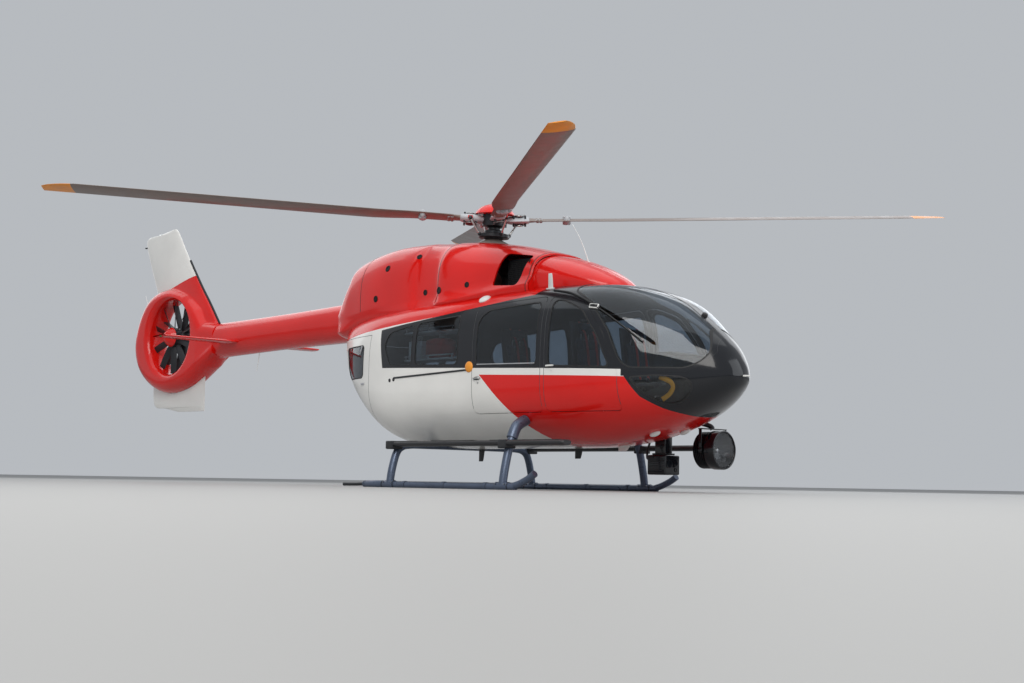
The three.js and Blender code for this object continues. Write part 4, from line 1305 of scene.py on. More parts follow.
def makeCrosstubes():
    for name, x, half in (("front", gear["frontX"], frontTubePath), ("rear", gear["rearX"], rearTubePath)):
        path = [(x, -y, z) for y, z in half] + [(x, y, z) for y, z in reversed(half)]
        bm = bmesh.new()
        addTube(bm, path, gear["tube"], 28, 8)
        if name == "front":
            for side in (-1, 1):
                addTube(bm, [(x, side * y, z) for y, z in frontSleevePath], gear["tube"] + 0.016, 28, 10)
        finish(f"{name}Crosstube", bm, "gear", "root", f"crosstube_{name}", 40)


board = {"start": -0.69, "length": 2.79, "y": 1.138, "z": 0.504, "halfWidth": 0.078, "halfHeight": 0.032}


def makeSteps():
    for word, side in sides:
        bm = bmesh.new()
        rows = []
        for x, swell in ((0, 0.75), (0.012, 0.93), (0.03, 1), (board["length"] - 0.03, 1),
                         (board["length"] - 0.012, 0.93), (board["length"], 0.75)):
            rows.append((board["start"] + x, swell))

        def place(ring, turn):
            x, swell = rows[ring]
            reach = (abs(math.cos(turn)) ** 2.6 + abs(math.sin(turn)) ** 2.6) ** (-1 / 2.6) * swell
            return Vector((x, side * board["y"] + board["halfWidth"] * math.cos(turn) * reach,
                           board["z"] + board["halfHeight"] * math.sin(turn) * reach))

        sheath(bm, len(rows), 40, place)
        for start, end in ((-0.6, -0.2), (0.05, 0.75), (1.0, 1.13), (1.35, 2.02)):
            addBox(bm, (start, side * board["y"] - 0.055, board["z"] + 0.024),
                   (end, side * board["y"] + 0.055, board["z"] + 0.0335), 0.003, 2, 1)
        for x in (gear["frontX"], gear["rearX"]):
            addBox(bm, (x - 0.062, side * board["y"] - 0.085, board["z"] - 0.06),
                   (x + 0.062, side * board["y"] + 0.085, board["z"] + 0.036), 0.014, 3, 2)
        finish(f"stepBoard_{word}", bm, ("plastic", "grip", "dark"), "root", f"step_{word}", 40)


makeSkids()
makeCrosstubes()
makeSteps()
print("gear: skids, crosstubes and steps are made")


# Cabin: seats, stretcher, panel and rack

pad = {"voxel": 0.009, "mattressVoxel": 0.013, "pressure": 4, "frames": 20, "smoothing": 4,
       "seam": 0.007}
padShapes = {
    # low corner, high corner, edge roundness, how far a point may move, grooves as (axis, place)
    "pan": ((0.025, -0.2, 0.288), (0.405, 0.2, 0.352), 0.028, 0.022, ((1, -0.12), (1, 0.12), (0, 0.24))),
    "back": ((0.024, -0.195, 0.1), (0.082, 0.195, 0.56), 0.026, 0.022,
             ((1, -0.11), (1, 0.11), (2, 0.26), (2, 0.42))),
    "headrest": ((0.022, -0.115, 0.6), (0.08, 0.115, 0.725), 0.026, 0.016, ()),
    "mattress": ((-1.2, 0.165, 1.072), (0.5, 0.605, 1.112), 0.018, 0.012, ((0, -0.55), (0, -0.05), (0, 0.3))),
    "bag": ((-0.17, -0.12, 0.01), (0.17, 0.12, 0.235), 0.05, 0.022, ((2, 0.16),)),
}


def swollen(mesh, cap):
    # Air pressure fills the pad out, and no point moves further than the cap
    piece = bpy.data.objects.new("swelling", mesh)
    scene.collection.objects.link(piece)
    before = [vert.co.copy() for vert in mesh.vertices]
    cloth = piece.modifiers.new("cloth", "CLOTH")
    cloth.settings.use_pressure = True
    cloth.settings.uniform_pressure_force = pad["pressure"]
    cloth.settings.effector_weights.gravity = 0
    cloth.point_cache.frame_start = 1
    cloth.point_cache.frame_end = pad["frames"]
    for step in range(1, pad["frames"] + 1):
        scene.frame_set(step)
    graph = bpy.context.evaluated_depsgraph_get()
    made = bpy.data.meshes.new_from_object(piece.evaluated_get(graph))
    scene.frame_set(1)
    for vert, start in zip(made.vertices, before):
        move = vert.co - start
        if move.length > cap:
            vert.co = start + move * (cap / move.length)
    bpy.data.objects.remove(piece)
    bpy.data.meshes.remove(mesh)
    return made


def padMesh(key):
    low, high, roundness, cap, grooves = padShapes[key]
    mesh = meshOf(addBox, low, high, roundness, 4)
    voxel = pad["mattressVoxel"] if key == "mattress" else pad["voxel"]
    mesh = remeshed(mesh, voxel, pad["smoothing"])
    mesh = swollen(mesh, cap)
    for axis, at in grooves:
        # A sewn channel: the skin is drawn in along a line across the pad
        for vert in mesh.vertices:
            draw = math.exp(-((vert.co[axis] - at) / pad["seam"]) ** 2) * pad["seam"]
            vert.co -= vert.normal * draw
    piece = bpy.data.objects.new("softened", mesh)
    scene.collection.objects.link(piece)
    smooth = piece.modifiers.new("smooth", "SUBSURF")
    smooth.levels = 1
    smooth.render_levels = 1
    graph = bpy.context.evaluated_depsgraph_get()
    made = bpy.data.meshes.new_from_object(piece.evaluated_get(graph))
    bpy.data.objects.remove(piece)
    bpy.data.meshes.remove(mesh)
    return made


pads = {key: padMesh(key) for key in padShapes}
print("pads: filled", len(pads))


def addPad(name, key, place, material="cloth"):
    piece = finishMesh(name, pads[key].copy(), material, "root", (), 60, place)


seats = (
    # name, x, y, node
    ("pilotSeat_right", 1.79, -0.42, "pilot_seat_right"),
    ("pilotSeat_left", 1.79, 0.42, "pilot_seat_left"),
    ("attendantSeat", 0.64, -0.33, "attendant_seat"),
)
seatBack = Matrix.Translation((-0.05, 0, 0.27)) @ Matrix.Rotation(math.radians(-8), 4, "Y")


def makeSeat(name, x, y, node):
    place = Matrix.Translation((x, y, hull["floor"] + hull["seat"]))
    bm = bmesh.new()
    for side in (-1, 1):
        addBox(bm, (-0.08, side * 0.17 - 0.02, 0), (0.34, side * 0.17 + 0.02, 0.022), 0.004, 2, 1)
        for foot, head in ((-0.04, 0.03), (0.3, 0.25)):
            addRod(bm, (foot, side * 0.17, 0.02), (head, side * 0.165, 0.25), 0.014, around=16, material=1)
        addRod(bm, (-0.03, side * 0.17, 0.05), (0.26, side * 0.166, 0.22), 0.009, around=12, material=1)
        addBox(bm, (0.0, side * 0.222 - 0.008, 0.255), (0.36, side * 0.222 + 0.008, 0.33), 0.006, 2, 0)
        addTube(bm, [seatBack @ Vector(p) for p in ((0.012, side * 0.06, 0.55), (0.03, side * 0.06, 0.62),
                                                    (0.045, side * 0.06, 0.66))], 0.007, 12, 6, 1)
        tubeRoute = ((0.02, 0.745), (0.098, 0.585), (0.112, 0.4), (0.112, 0.2), (0.125, 0.13))
        path = [seatBack @ Vector((xa, side * 0.075, za)) for xa, za in tubeRoute]
        addTube(bm, path, 0.02, 16, 8, 2, (0.12, 1, 0.12))
    addBox(bm, (-0.02, -0.215, 0.248), (0.415, 0.215, 0.272), 0.008, 3, 0)
    addBox(bm, (-0.012, -0.215, 0.0), (0.014, 0.215, 0.74), 0.011, 3, 0, seatBack)
    for z in (0.16, 0.36, 0.56):
        addBox(bm, (-0.022, -0.17, z - 0.02), (-0.01, 0.17, z + 0.02), 0.005, 2, 0, seatBack)
    addLathe(bm, ((0, 0), (0.03, 0), (0.032, 0.006), (0.024, 0.016), (0, 0.018)), (0.09, 0, 0.41),
             (1, 0, 0.3), 32, 3)
    finish(name, bm, ("plastic", "steel", "redCloth", "dark"), "root", node, 35, place)
    addPad(f"{name}Cushion", "pan", place)
    addPad(f"{name}Back", "back", place @ seatBack)
    addPad(f"{name}Headrest", "headrest", place @ seatBack)


def makeStretcher():
    deck = {"low": 1.042, "high": 1.062, "rail": 1.066, "inner": 0.145, "outer": 0.625}
    bm = bmesh.new()
    addBox(bm, (-1.22, 0.165, deck["low"]), (0.52, 0.605, deck["high"]), 0.006, 2, 0)
    for y in (deck["inner"], deck["outer"]):
        addTube(bm, ((-1.235, y, deck["rail"]), (-0.6, y, deck["rail"]), (0.0, y, deck["rail"]),
                     (0.535, y, deck["rail"])), 0.014, 16, 6, 1)
        for x in (-0.95, -0.3, 0.3):
            addTube(bm, ((x - 0.09, y, 1.07), (x - 0.08, y, 1.125), (x, y, 1.13), (x + 0.08, y, 1.125),
                         (x + 0.09, y, 1.07)), 0.008, 12, 5, 1)
    for x in (-1.235, 0.535):
        addRod(bm, (x, deck["inner"], deck["rail"]), (x, deck["outer"], deck["rail"]), 0.014, around=16,
               material=1)
    for x in (-1.1, 0.4):
        for y in (0.22, 0.55):
            addRod(bm, (x, y, 0.885), (x, y, 1.045), 0.015, around=16, material=1)
            addLathe(bm, ((0.012, -0.014), (0.032, -0.014), (0.04, -0.008), (0.04, 0.008), (0.032, 0.014),
                          (0.012, 0.014), (0.012, -0.014)), (x, y, 0.881), (0, 1, 0), 32, 2)
        addRod(bm, (x, 0.22, 0.93), (x, 0.55, 1.03), 0.01, around=12, material=1)
        addRod(bm, (x, 0.55, 0.93), (x, 0.22, 1.03), 0.01, around=12, material=1)
    for x in (-0.85, -0.2, 0.35):
        tubeRoute = ((x, 0.14, 1.07), (x, 0.165, 1.118), (x, 0.26, 1.128), (x, 0.51, 1.128), (x, 0.605, 1.118),
                 (x, 0.63, 1.07))
        addTube(bm, tubeRoute, 0.024, 16, 8, 3, (1, 0.12, 0.12))
        addBox(bm, (x - 0.02, 0.36, 1.125), (x + 0.02, 0.41, 1.135), 0.003, 2, 2)
    finish("stretcherFrame", bm, ("plastic", "steel", "dark", "redCloth"), "root",
           "stretcher", 35)
    addPad("stretcherMattress", "mattress", Matrix.Identity(4), "mattress")


panelPlace = {"pedestal": ((2.33, 0), (2.8, 0), (2.86, 0.33), (2.99, 0.4), (2.96, 0.56), (2.78, 0.6),
                           (2.7, 0.33), (2.33, 0.24)),
              "dashboard": ((2.72, 0.35), (2.96, 0.42), (2.96, 0.56), (2.78, 0.61))}


def makePanel():
    floor = hull["floor"] + hull["seat"]
    inside = []
    for key, half, corner in (("pedestal", 0.15, 0.012), ("dashboard", 0.5, 0.03)):
        outline = [(x, z + floor) for x, z in panelPlace[key]]
        inside.append(keep(meshOf(addPrism, outline, -half, half, corner=corner), hullMesh(0.045)))
    bm = bmesh.new()
    for mesh in inside:
        bm.from_mesh(mesh)
    face = Matrix.Translation((2.75, 0, floor + 0.48)) @ Matrix.Rotation(math.radians(13), 4, "Y")
    for y in (-0.375, -0.14, 0.14, 0.375):
        addBox(bm, (-0.014, y - 0.105, -0.085), (0.004, y + 0.105, 0.085), 0.006, 3, 1, face)
        addBox(bm, (-0.0155, y - 0.088, -0.062), (-0.013, y + 0.088, 0.07), 0.001, 1, 2, face)
        for key in range(8):
            at = y - 0.08 + key * 0.023
            addBox(bm, (-0.018, at - 0.007, -0.079), (-0.013, at + 0.007, -0.069), 0.0015, 1, 3, face)
    for row in range(5):
        for column in range(4):
            low = Vector((2.36 + row * 0.062, -0.105 + column * 0.055, floor + 0.242 + row * 0.0175))
            addBox(bm, low, low + Vector((0.045, 0.042, 0.012)), 0.003, 2, 3 if (row + column) % 3 else 1)
    addBox(bm, (2.725, -0.47, floor + 0.603), (2.94, 0.47, floor + 0.618), 0.007, 3, 1)
    for side in (-1, 1):
        y = side * 0.42
        addTube(bm, ((2.19, y, floor), (2.2, y, floor + 0.12), (2.17, y, floor + 0.36),
                     (2.12, y, floor + 0.46)), 0.013,
                16, 8, 1)
        addTube(bm, ((2.13, y, floor + 0.42), (2.11, y, floor + 0.48), (2.1, y, floor + 0.54)), 0.02, 20, 6,
                1)
        addTube(bm, ((1.62, side * 0.17, floor + 0.08), (1.9, side * 0.17, floor + 0.2),
                     (2.05, side * 0.17, floor + 0.3)),
                0.016, 16, 8, 1)
        for step in (-0.09, 0.09):
            addBox(bm, (2.63, y + step - 0.045, floor + 0.05), (2.65, y + step + 0.045, floor + 0.17),
                   0.006, 2, 4)
            addRod(bm, (2.64, y + step, floor), (2.64, y + step, floor + 0.07), 0.01, around=12, material=4)
    finish("instrumentPanel", bm, ("trim", "plastic", "screen", "pale", "steel"), "root",
           "instrument_panel", 35)


def makeRack():
    shelves = (1.15, 1.5, 1.83)
    bm = bmesh.new()
    for z in shelves:
        addBox(bm, (-0.9, -0.8, z), (-0.05, -0.52, z + 0.025), 0.006, 2, 0)
        addTube(bm, ((-0.9, -0.785, z + 0.06), (-0.6, -0.785, z + 0.06), (-0.3, -0.785, z + 0.06),
                     (-0.05, -0.785, z + 0.06)), 0.008, 12, 4, 1)
        for x in (-0.88, -0.48, -0.07):
            addRod(bm, (x, -0.785, z + 0.02), (x, -0.785, z + 0.06), 0.006, around=12, material=1)
    for x in (-0.9, -0.48, -0.075):
        addBox(bm, (x, -0.62, hull["floor"] + hull["seat"]), (x + 0.025, -0.52, 1.855), 0.004, 2, 0)
    boxes = (
        # low corner, size, material
        ((-0.87, -0.76, 1.526), (0.24, 0.2, 0.22), 2), ((-0.27, -0.75, 1.176), (0.19, 0.2, 0.2), 3),
        ((-0.86, -0.76, 1.176), (0.3, 0.22, 0.16), 2), ((-0.8, -0.75, 1.856), (0.28, 0.2, 0.09), 3),
    )
    for low, size, material in boxes:
        low = Vector(low)
        high = low + Vector(size)
        addBox(bm, low, high, 0.014, 3, material)
        addBox(bm, (low.x - 0.002, low.y - 0.002, high.z - size[2] * 0.32),
               (high.x + 0.002, high.y + 0.002, high.z - size[2] * 0.3), 0.001, 1, 4)
        middle = (low + high) / 2
        addTube(bm, ((middle.x - 0.05, middle.y, high.z - 0.004),
                     (middle.x - 0.045, middle.y, high.z + 0.016),
                     (middle.x, middle.y, high.z + 0.022), (middle.x + 0.045, middle.y, high.z + 0.016),
                     (middle.x + 0.05, middle.y, high.z - 0.004)), 0.006, 12, 5, 4)
    finish("equipmentRack", bm, ("white", "pale", "pale", "plastic", "dark"), "root",
           "equipment_rack", 35)
    for name, x, z, material in (("redBag", -0.4, 1.526, "redCloth"), ("blueBag", -0.42, 1.176, "mattress")):
        addPad(name, "bag", Matrix.Translation((x, -0.66, z)), material)


for seatRow in seats:
    makeSeat(*seatRow)
makeStretcher()
makePanel()
makeRack()
print("cabin: seats, stretcher, panel and rack are made")


# Engines and gearbox, under the cowling

def makeEngines():
    bm = bmesh.new()
    engine = ((0, 0), (0.11, 0), (0.125, 0.02), (0.125, 0.5), (0.16, 0.52), (0.16, 0.75), (0.19, 0.78),
              (0.19, 1.2), (0.17, 1.24), (0.17, 1.5), (0.13, 1.56), (0.13, 1.9), (0.1, 1.98), (0, 1.98))
    for side in (-1, 1):
        addLathe(bm, engine, (-1.896, side * 0.245, 2.47), (1, 0, 0), 48, 1)
        for x in (-1.6, -1.0, -0.5, 0.0):
            addLathe(bm, ((0.13, -0.01), (0.2, -0.01), (0.2, 0.01), (0.13, 0.01), (0.13, -0.01)),
                     (x, side * 0.245, 2.47), (1, 0, 0), 48, 0)
        addTube(bm, ((-1.5, side * 0.43, 2.4), (-1.0, side * 0.455, 2.46), (-0.4, side * 0.44, 2.4),
                     (0.1, side * 0.4, 2.44)),
                0.014, 12, 8, 2)
    addBox(bm, (-1.85, -0.46, 2.262), (0.28, 0.46, 2.285), 0.008, 2, 0)
    finish("engines", bm, ("dark", "hot", "steel"), "root", "engines_and_gearbox", 35)
    bm = bmesh.new()
    box = ((0, -0.94), (0.28, -0.94), (0.28, -0.9), (0.26, -0.88), (0.25, -0.7), (0.265, -0.69),
           (0.265, -0.66), (0.24, -0.65), (0.225, -0.5), (0.2, -0.47), (0.12, -0.4504), (0, -0.4504))
    addLathe(bm, box, (0, 0, 0), (0, 0, 1), 64)
    finish("mainGearbox", bm, "dark", "root", (), 35, hubPlace)


makeEngines()
print("engines and gearbox are made")


# Searchlight and camera box under the nose

lamp = {"x": 2.56, "y": 0.73, "z": 0.47, "radius": 0.215, "half": 0.165}


def makeSearchlight():
    profile = [(0, -0.165), (0.12, -0.165), (0.15, -0.155), (0.165, -0.125)]
    for rib in range(6):
        x = -0.12 + rib * 0.024
        profile += [(0.176, x), (0.204, x + 0.003), (0.204, x + 0.011), (0.176, x + 0.014)]
    profile += [(0.2, 0.03), (0.213, 0.036), (0.215, 0.044), (0.215, 0.15), (0.211, 0.161), (0.203, 0.165),
                (0.192, 0.163), (0.188, 0.15), (0.17, 0.09), (0.12, 0.03), (0.04, 0.0), (0, 0.0)]
    centre = (lamp["x"], lamp["y"], lamp["z"])
    bm = bmesh.new()
    addLathe(bm, profile, centre, (1, 0, 0), 96)
    addLathe(bm, ((0, 0.002), (0.032, 0.002), (0.03, 0.05), (0.016, 0.07), (0, 0.072)), centre, (1, 0, 0),
             32, 1)
    for side in (-1, 1):
        y = lamp["y"] + side * 0.221
        addBox(bm, (lamp["x"] - 0.02, y - 0.005, lamp["z"] - 0.03),
               (lamp["x"] + 0.02, y + 0.005, lamp["z"] + 0.235), 0.004, 2, 2)
        addRod(bm, (lamp["x"], y - 0.012, lamp["z"]), (lamp["x"], y + 0.012, lamp["z"]), 0.028, around=24,
               material=2, bevel=0.004)
    addBox(bm, (lamp["x"] - 0.03, lamp["y"] - 0.226, lamp["z"] + 0.226),
           (lamp["x"] + 0.03, lamp["y"] + 0.226, lamp["z"] + 0.238), 0.004, 2, 2)
    addTube(bm, ((2.56, 0.73, 0.7), (2.54, 0.715, 0.735), (2.46, 0.66, 0.765), (2.38, 0.6, 0.77)), 0.028,
            20, 8, 2)
    finish("searchlight", bm, ("black", "steel", "dark"), "root", "searchlight", 35)
    bm = bmesh.new()
    addLathe(bm, ((0, 0.15), (0.187, 0.148), (0.187, 0.154), (0.1, 0.158), (0, 0.159)), centre, (1, 0, 0), 64)
    finish("searchlightLens", bm, "clear", "root")


def makeCameraBox():
    bm = bmesh.new()
    addBox(bm, (1.98, 0.3, 0.19), (2.24, 0.56, 0.41), 0.018, 4)
    addBox(bm, (2.035, 0.365, 0.4), (2.185, 0.495, 0.66), 0.012, 3)
    addBox(bm, (2.015, 0.345, 0.41), (2.205, 0.515, 0.43), 0.006, 2, 1)
    for z in (0.235, 0.26, 0.285, 0.31, 0.335, 0.36):
        addBox(bm, (2.0, 0.294, z), (2.2, 0.304, z + 0.01), 0.003, 2, 1)
        addBox(bm, (2.0, 0.556, z), (2.2, 0.566, z + 0.01), 0.003, 2, 1)
    for y, z, radius in ((0.37, 0.31, 0.05), (0.485, 0.32, 0.035), (0.48, 0.245, 0.022)):
        ring = ((0, 0.0), (radius, 0.0), (radius, 0.008), (radius * 0.84, 0.009), (radius * 0.8, 0.003),
                (0, 0.002))
        addLathe(bm, ring, (2.239, y, z), (1, 0, 0), 40, 2)
    addTube(bm, ((1.98, 0.34, 0.36), (1.95, 0.34, 0.38), (1.94, 0.36, 0.46), (1.96, 0.38, 0.56),
                 (1.98, 0.4, 0.62)),
            0.012, 14, 8, 3)
    finish("cameraBox", bm, ("black", "dark", "screen", "rubber"), "root", "camera_box", 35)


makeSearchlight()
makeCameraBox()
print("nose: searchlight and camera box are made")


# Small fittings on the skin

smoothCowling = meshOf(addCowling)
cowlTree = BVHTree.FromPolygons([v.co for v in smoothCowling.vertices],
                                [p.vertices for p in smoothCowling.polygons])


def onSkin(x, z, side, tree=None):
    # A place on a flank: +Z stands out of the skin, +X runs along the machine
    start = Vector((x, side * 3, z))
    place, normal, *rest = (tree or hullTree).ray_cast(start, Vector((0, -side, 0)))
    return skinFrame(place, normal if normal.y * side > 0 else -normal)


def overSkin(x, y, up, tree=None):
    # A place on the roof (up = 1) or the belly (up = -1)
    place, normal, *rest = (tree or hullTree).ray_cast(Vector((x, y, up * 6)), Vector((0, 0, -up)))
    return skinFrame(place, normal if normal.z * up > 0 else -normal)


def skinFrame(place, normal):
    along = Vector((1, 0, 0))
    along = (along - normal * along.dot(normal)).normalized()
    turn = Matrix((along, normal.cross(along), normal)).transposed().to_4x4()
    return Matrix.Translation(place) @ turn


def addAt(bm, frame, build, *args, **settings):
    made = meshOf(build, *args, **settings)
    made.transform(frame)
    bm.from_mesh(made)
    bpy.data.meshes.remove(made)


def makeVents():
    spots = (
        # x, z, radius: round outlets in the cowling's flank, each a near-black disc that paints the shade
        # inside the hole
        (-0.904, 2.806, 0.034), (-1.42, 2.7, 0.04), (-0.689, 2.34, 0.034), (-0.411, 2.34, 0.042),
        (0.064, 2.37, 0.034), (-1.6, 2.33, 0.04),
    )
    bm = bmesh.new()
    for x, z, radius in spots:
        ring = ((0, 0.002), (radius * 0.8, 0.002), (radius * 0.84, 0.007), (radius, 0.006),
                (radius * 1.05, -0.004), (0, -0.004))
        for side in (-1, 1):
            addAt(bm, onSkin(x, z, side, cowlTree), addLathe, ring, (0, 0, 0), (0, 0, 1), 32)
    finish("cowlingVents", bm, "cavity")
    dome = ((0, 0.03), (0.03, 0.028), (0.06, 0.018), (0.075, 0.0), (0.075, -0.01), (0, -0.01))
    bm = bmesh.new()
    for side in (-1, 1):
        addAt(bm, overSkin(0.42, side * 0.74, 1), addLathe, dome, (0, 0, 0), (0, 0, 1), 40)
    finish("roofDomes", bm, "pale")
    for word, side in sides:
        bm = bmesh.new()
        tilt = Matrix.Rotation(math.radians(side * 25), 4, "Z")
        addAt(bm, onSkin(-1.68, 1.68, side) @ tilt, addBox, (-0.011, -0.055, -0.002), (0.011, 0.055, 0.01),
              0.004, 2)
        addAt(bm, onSkin(-1.6, 1.26, side), addBox, (-0.04, -0.012, -0.002), (0.04, 0.012, 0.012), 0.004, 2)
        finish(f"clamshellLatch_{word}", bm, "cuff", f"{word}_clamshell")


def makeAntennas():
    blades = (
        # x, y, up, height, chord, material: white blades on the roof, two dark ones and a white one under the
        # belly
        (1.38, -0.66, 1, 0.17, 0.075, 0), (-0.06, -0.66, 1, 0.19, 0.05, 0), (1.38, 0.66, 1, 0.17, 0.075, 0),
        (1.05, 0.2, -1, 0.12, 0.12, 1), (-0.35, 0, -1, 0.15, 0.1, 1), (1.9, 0, -1, 0.06, 0.16, 0),
    )
    bm = bmesh.new()
    for x, y, up, height, chord, material in blades:
        frame = overSkin(x, y, up)
        frame = Matrix.Translation(frame.translation) @ Matrix.Diagonal((1, up, up, 1))
        rows = ((-0.02, chord / 2, -chord / 2, 0.02), (0.01, chord / 2, -chord / 2, 0.018),
                (height * 0.9, chord * 0.28, -chord / 2, 0.012), (height, chord * 0.1, -chord / 2, 0.006))
        addAt(bm, frame, addFoil, rows, uprightFoil, 24, 4, material)
        addAt(bm, frame, addBox, (-chord * 0.7, -0.02, -0.012), (chord * 0.7, 0.02, 0.006), 0.004, 2,
              material)
    finish("antennas", bm, ("pale", "plastic"))
    bm = bmesh.new()
    base = Vector((1.35, 0.0, 2.585))
    addTube(bm, (base, base + Vector((-0.05, 0, 0.12)), base + Vector((-0.14, 0, 0.3)),
                 base + Vector((-0.26, 0, 0.48))),
            lambda t: 0.006 - 0.004 * t, 12, 8)
    addLathe(bm, ((0, 0.02), (0.014, 0.018), (0.02, 0.0), (0.024, -0.012), (0, -0.012)), base, (0, 0, 1), 24)
    tail = Vector((-5.0, 0.0, 1.87))
    addTube(bm, (tail, tail + Vector((-0.02, 0, -0.1)), tail + Vector((-0.06, 0, -0.26))),
            lambda t: 0.006 - 0.003 * t, 12, 8)
    finish("whipAntennas", bm, "pale")


def makeWipers():
    # Arm and blade on each windshield, with a pale pivot housing at its rear edge
    route = ((2.13, 1.965), (2.3, 1.87), (2.46, 1.76), (2.6, 1.655), (2.73, 1.55))
    rear = ((1.5, 2.18), (1.75, 2.135), (1.95, 2.062), (2.1, 1.99))
    for word, side in sides:
        bm = bmesh.new()
        for path, out, radius in ((route, 0.02, 0.008), (route[1:], 0.008, 0.01), (rear, 0.006, 0.011)):
            frames = [onSkin(x, z, side) for x, z in path]
            addTube(bm, [frame @ Vector((0, 0, out)) for frame in frames], radius, 14, 8)
        frame = onSkin(2.15, 1.95, side)
        addAt(bm, frame, addBox, (-0.055, -0.028, -0.006), (0.055, 0.028, 0.026), 0.01, 3, 1)
        addAt(bm, frame, addLathe, ((0, 0.04), (0.012, 0.039), (0.018, 0.03), (0.018, 0.0), (0, 0.0)),
              (0, 0, 0), (0, 0, 1), 24, 0)
        finish(f"wiper_{word}", bm, ("rubber", "pale"))


def addHandle(bm, frame, material):
    # A grip over an oval cup, and the lock under it
    addAt(bm, frame, addBall, (0, 0, -0.002), (0.062, 0.02, 0.008), 0, 24)
    addAt(bm, frame, addTube, ((-0.05, 0, 0.001), (-0.04, 0, 0.018), (0, 0, 0.022), (0.04, 0, 0.018),
                               (0.05, 0, 0.001)),
          0.009, 14, 6, material, (1, 1, 0.7))
    addAt(bm, frame, addLathe, ((0, 0.006), (0.01, 0.005), (0.013, -0.003), (0, -0.003)), (0.02, -0.05, 0),
          (0, 0, 1), 20, material)


def makeDoorGear():
    # Pale strips under the sliding panes as a painted highlight along each pane's lower edge, sliding rails,
    # plugs, handles and amber lamps
    bm = bmesh.new()
    for side in (-1, 1):
        # Pale grey strip under each sliding pane: a painted highlight along the lower edge of the pane
        sill = [onSkin(x, 1.372 + 0.028 * (1.44 - x), side) @ Vector((0, 0, 0.002))
                for x in (0.53, 0.8, 1.1, 1.43)]
        addTube(bm, sill, 0.006, 12, 8, 3)
        rail = [onSkin(x, 1.345 - 0.045 * (0.44 - x) / 1.36, side) @ Vector((0, 0, 0.001))
                for x in (-0.92, -0.7, -0.4, -0.1, 0.2, 0.43)]
        addTube(bm, rail, 0.011, 14, 8, 1)
        for x, z in ((-0.923, 1.281), (-1.0, 1.275)):
            addAt(bm, onSkin(x, z, side), addLathe, ((0, 0.008), (0.016, 0.007), (0.022, 0.002),
                                                     (0.022, -0.004),
                                                     (0, -0.004)), (0, 0, 0), (0, 0, 1), 24, 0)
        addHandle(bm, onSkin(0.53, 1.24, side), 2)
    finish("doorGear", bm, ("plastic", "dark", "steel", "cuff"))
    for word, side in sides:
        bm = bmesh.new()
        addHandle(bm, onSkin(1.65, 1.335, side), 1)
        finish(f"cockpitDoorHandle_{word}", bm, ("plastic", "pale"), f"{word}_cockpit_door")
        bm = bmesh.new()
        disc = ((0, 0.02), (0.03, 0.019), (0.05, 0.014), (0.062, 0.004), (0.064, -0.003), (0, -0.003))
        addAt(bm, onSkin(0.4, 1.375, side), addLathe, disc, (0, 0, 0), (0, 0, 1), 48)
        finish(f"amberLamp_{word}", bm, "amber")


def makeLamps():
    bm = bmesh.new()
    for side in (-1, 1):
        mark = 0 if side < 0 else 1
        addBall(bm, (-5.53, side * 1.3, 2.045), (0.05, 0.012, 0.016), mark, 20)
    addBall(bm, (-7.78, 0, 3.9), (0.04, 0.014, 0.014), 2, 16)
    finish("positionLamps", bm, ("green", "redLens", "clear"))
    bm = bmesh.new()
    addRod(bm, (-8.16, 0, 3.72), (-8.21, 0, 3.725), 0.012, around=16, bevel=0.003)
    addTube(bm, ((-8.0, 0.0, 2.72), (-8.08, 0, 2.82), (-8.15, 0, 2.95)), lambda t: 0.005 - 0.002 * t, 10, 8,
            1)
    edge = [(x + 0.004, 0, z) for z, x, *rest in finRows[:4]]
    addTube(bm, edge, 0.017, 16, 8, 0, (1, 0.9, 1))
    finish("finFittings", bm, ("dark", "pale"))


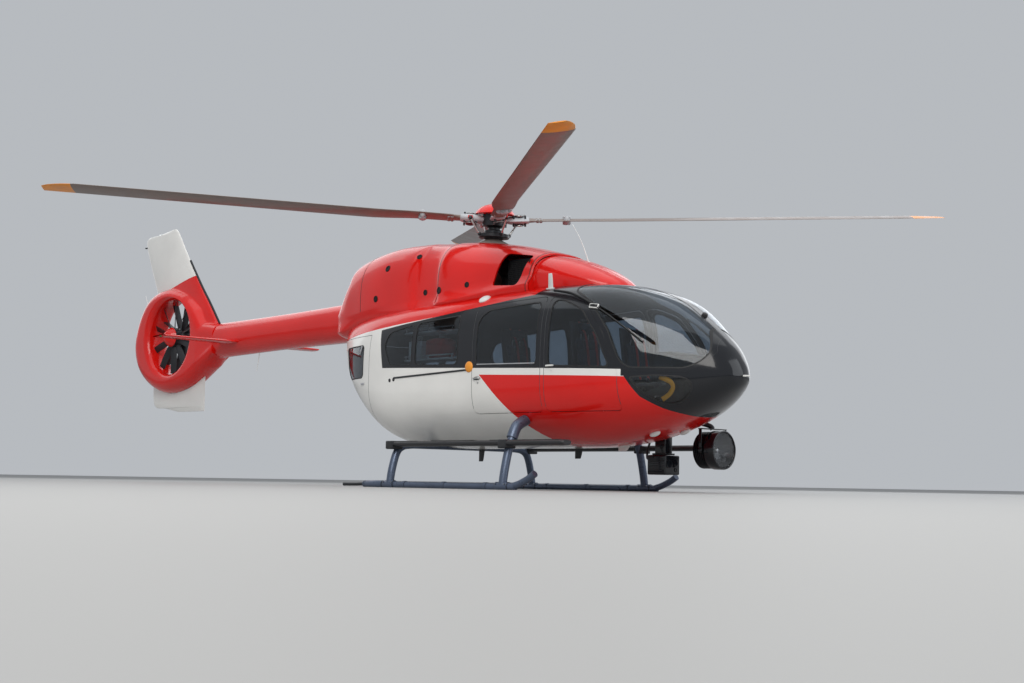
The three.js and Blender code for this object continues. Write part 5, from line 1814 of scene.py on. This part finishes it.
def makeNoseFittings():
    bm = bmesh.new()
    tip = Vector((3.5, 0, 1.212))
    addTube(bm, (tip - Vector((0.05, 0, 0)), tip + Vector((0.03, 0, -0.002)),
                 tip + Vector((0.085, 0, -0.006))),
            lambda t: 0.013 - 0.006 * t, 16, 8, 0)
    frame = overSkin(3.0, 0.0, 1)
    addAt(bm, frame, addLathe, ((0, 0.035), (0.02, 0.034), (0.03, 0.024), (0.034, 0.0), (0.034, -0.006),
                                (0, -0.006)),
          (0, 0, 0), (0, 0, 1), 32, 1)
    for x, y in ((2.5, -0.2), (2.62, 0.16)):
        addAt(bm, overSkin(x, y, -1), addBall, (0, 0, 0.01), (0.07, 0.035, 0.03), 0, 24)
    finish("noseFittings", bm, ("pale", "plastic"))
    # Yellow tube just inside the starboard chin window: a painted reflection of a yellow arc in the glass,
    # not a part of the machine
    bm = bmesh.new()
    tubeRoute = [onSkin(x, z, -1) @ Vector((0, 0, -0.05)) for x, z in ((2.9, 1.19), (2.99, 1.14), (3.01, 1.07),
                                                                   (2.96, 0.99), (2.88, 0.93))]
    addTube(bm, tubeRoute, 0.027, 20, 8, 0, (1, 0.4, 1))
    finish("paintedYellowReflection", bm, "yellow")


def makeIntakeScreens():
    # Dark mesh set back in each air intake: two sets of thin wires, and the wall behind them in near-black as
    # painted shade for the depth of the duct
    for word, side in sides:
        bm = bmesh.new()
        y = side * 0.39
        near, far = sorted((y, y - side * 0.006))
        addBox(bm, (0.44, near, 2.28), (0.93, far, 2.655), 0.001, 1, 0)
        near, far = sorted((y, y + side * 0.16))
        addBox(bm, (0.925, near, 2.28), (0.935, far, 2.6), 0.001, 1, 0)
        addBox(bm, (0.44, near, 2.272), (0.93, far, 2.282), 0.001, 1, 0)
        for step in range(21):
            x = 0.455 + step * 0.022
            addRod(bm, (x, y + side * 0.008, 2.285), (x, y + side * 0.008, 2.65), 0.0025, around=6,
                   material=1)
        for step in range(16):
            z = 2.295 + step * 0.0225
            addRod(bm, (0.445, y + side * 0.011, z), (0.925, y + side * 0.011, z), 0.0025, around=6,
                   material=1)
        finish(f"intakeScreen_{word}", bm, ("cavity", "dark"))


def makeSeams():
    # Joint lines of the cowling's covers: a narrow dark strip let into the skin
    slabs = ((-0.44, 0.005), (0.98, 0.004), (-1.95, 0.004))
    bm = bmesh.new()
    for x, half in slabs:
        shell = drop(meshOf(addCowling, -0.0012), meshOf(addCowling, 0.006))
        strip = keep(shell, meshOf(addBox, (x - half, -1, 2.2), (x + half, 1, 3.2)))
        bm.from_mesh(seatOnHull(strip))
    finish("cowlingSeams", bm, "rubber")


makeVents()
makeAntennas()
makeWipers()
makeDoorGear()
makeLamps()
makeNoseFittings()
makeIntakeScreens()
makeSeams()
print("fittings: vents, antennas, wipers, handles, lamps and screens are made")
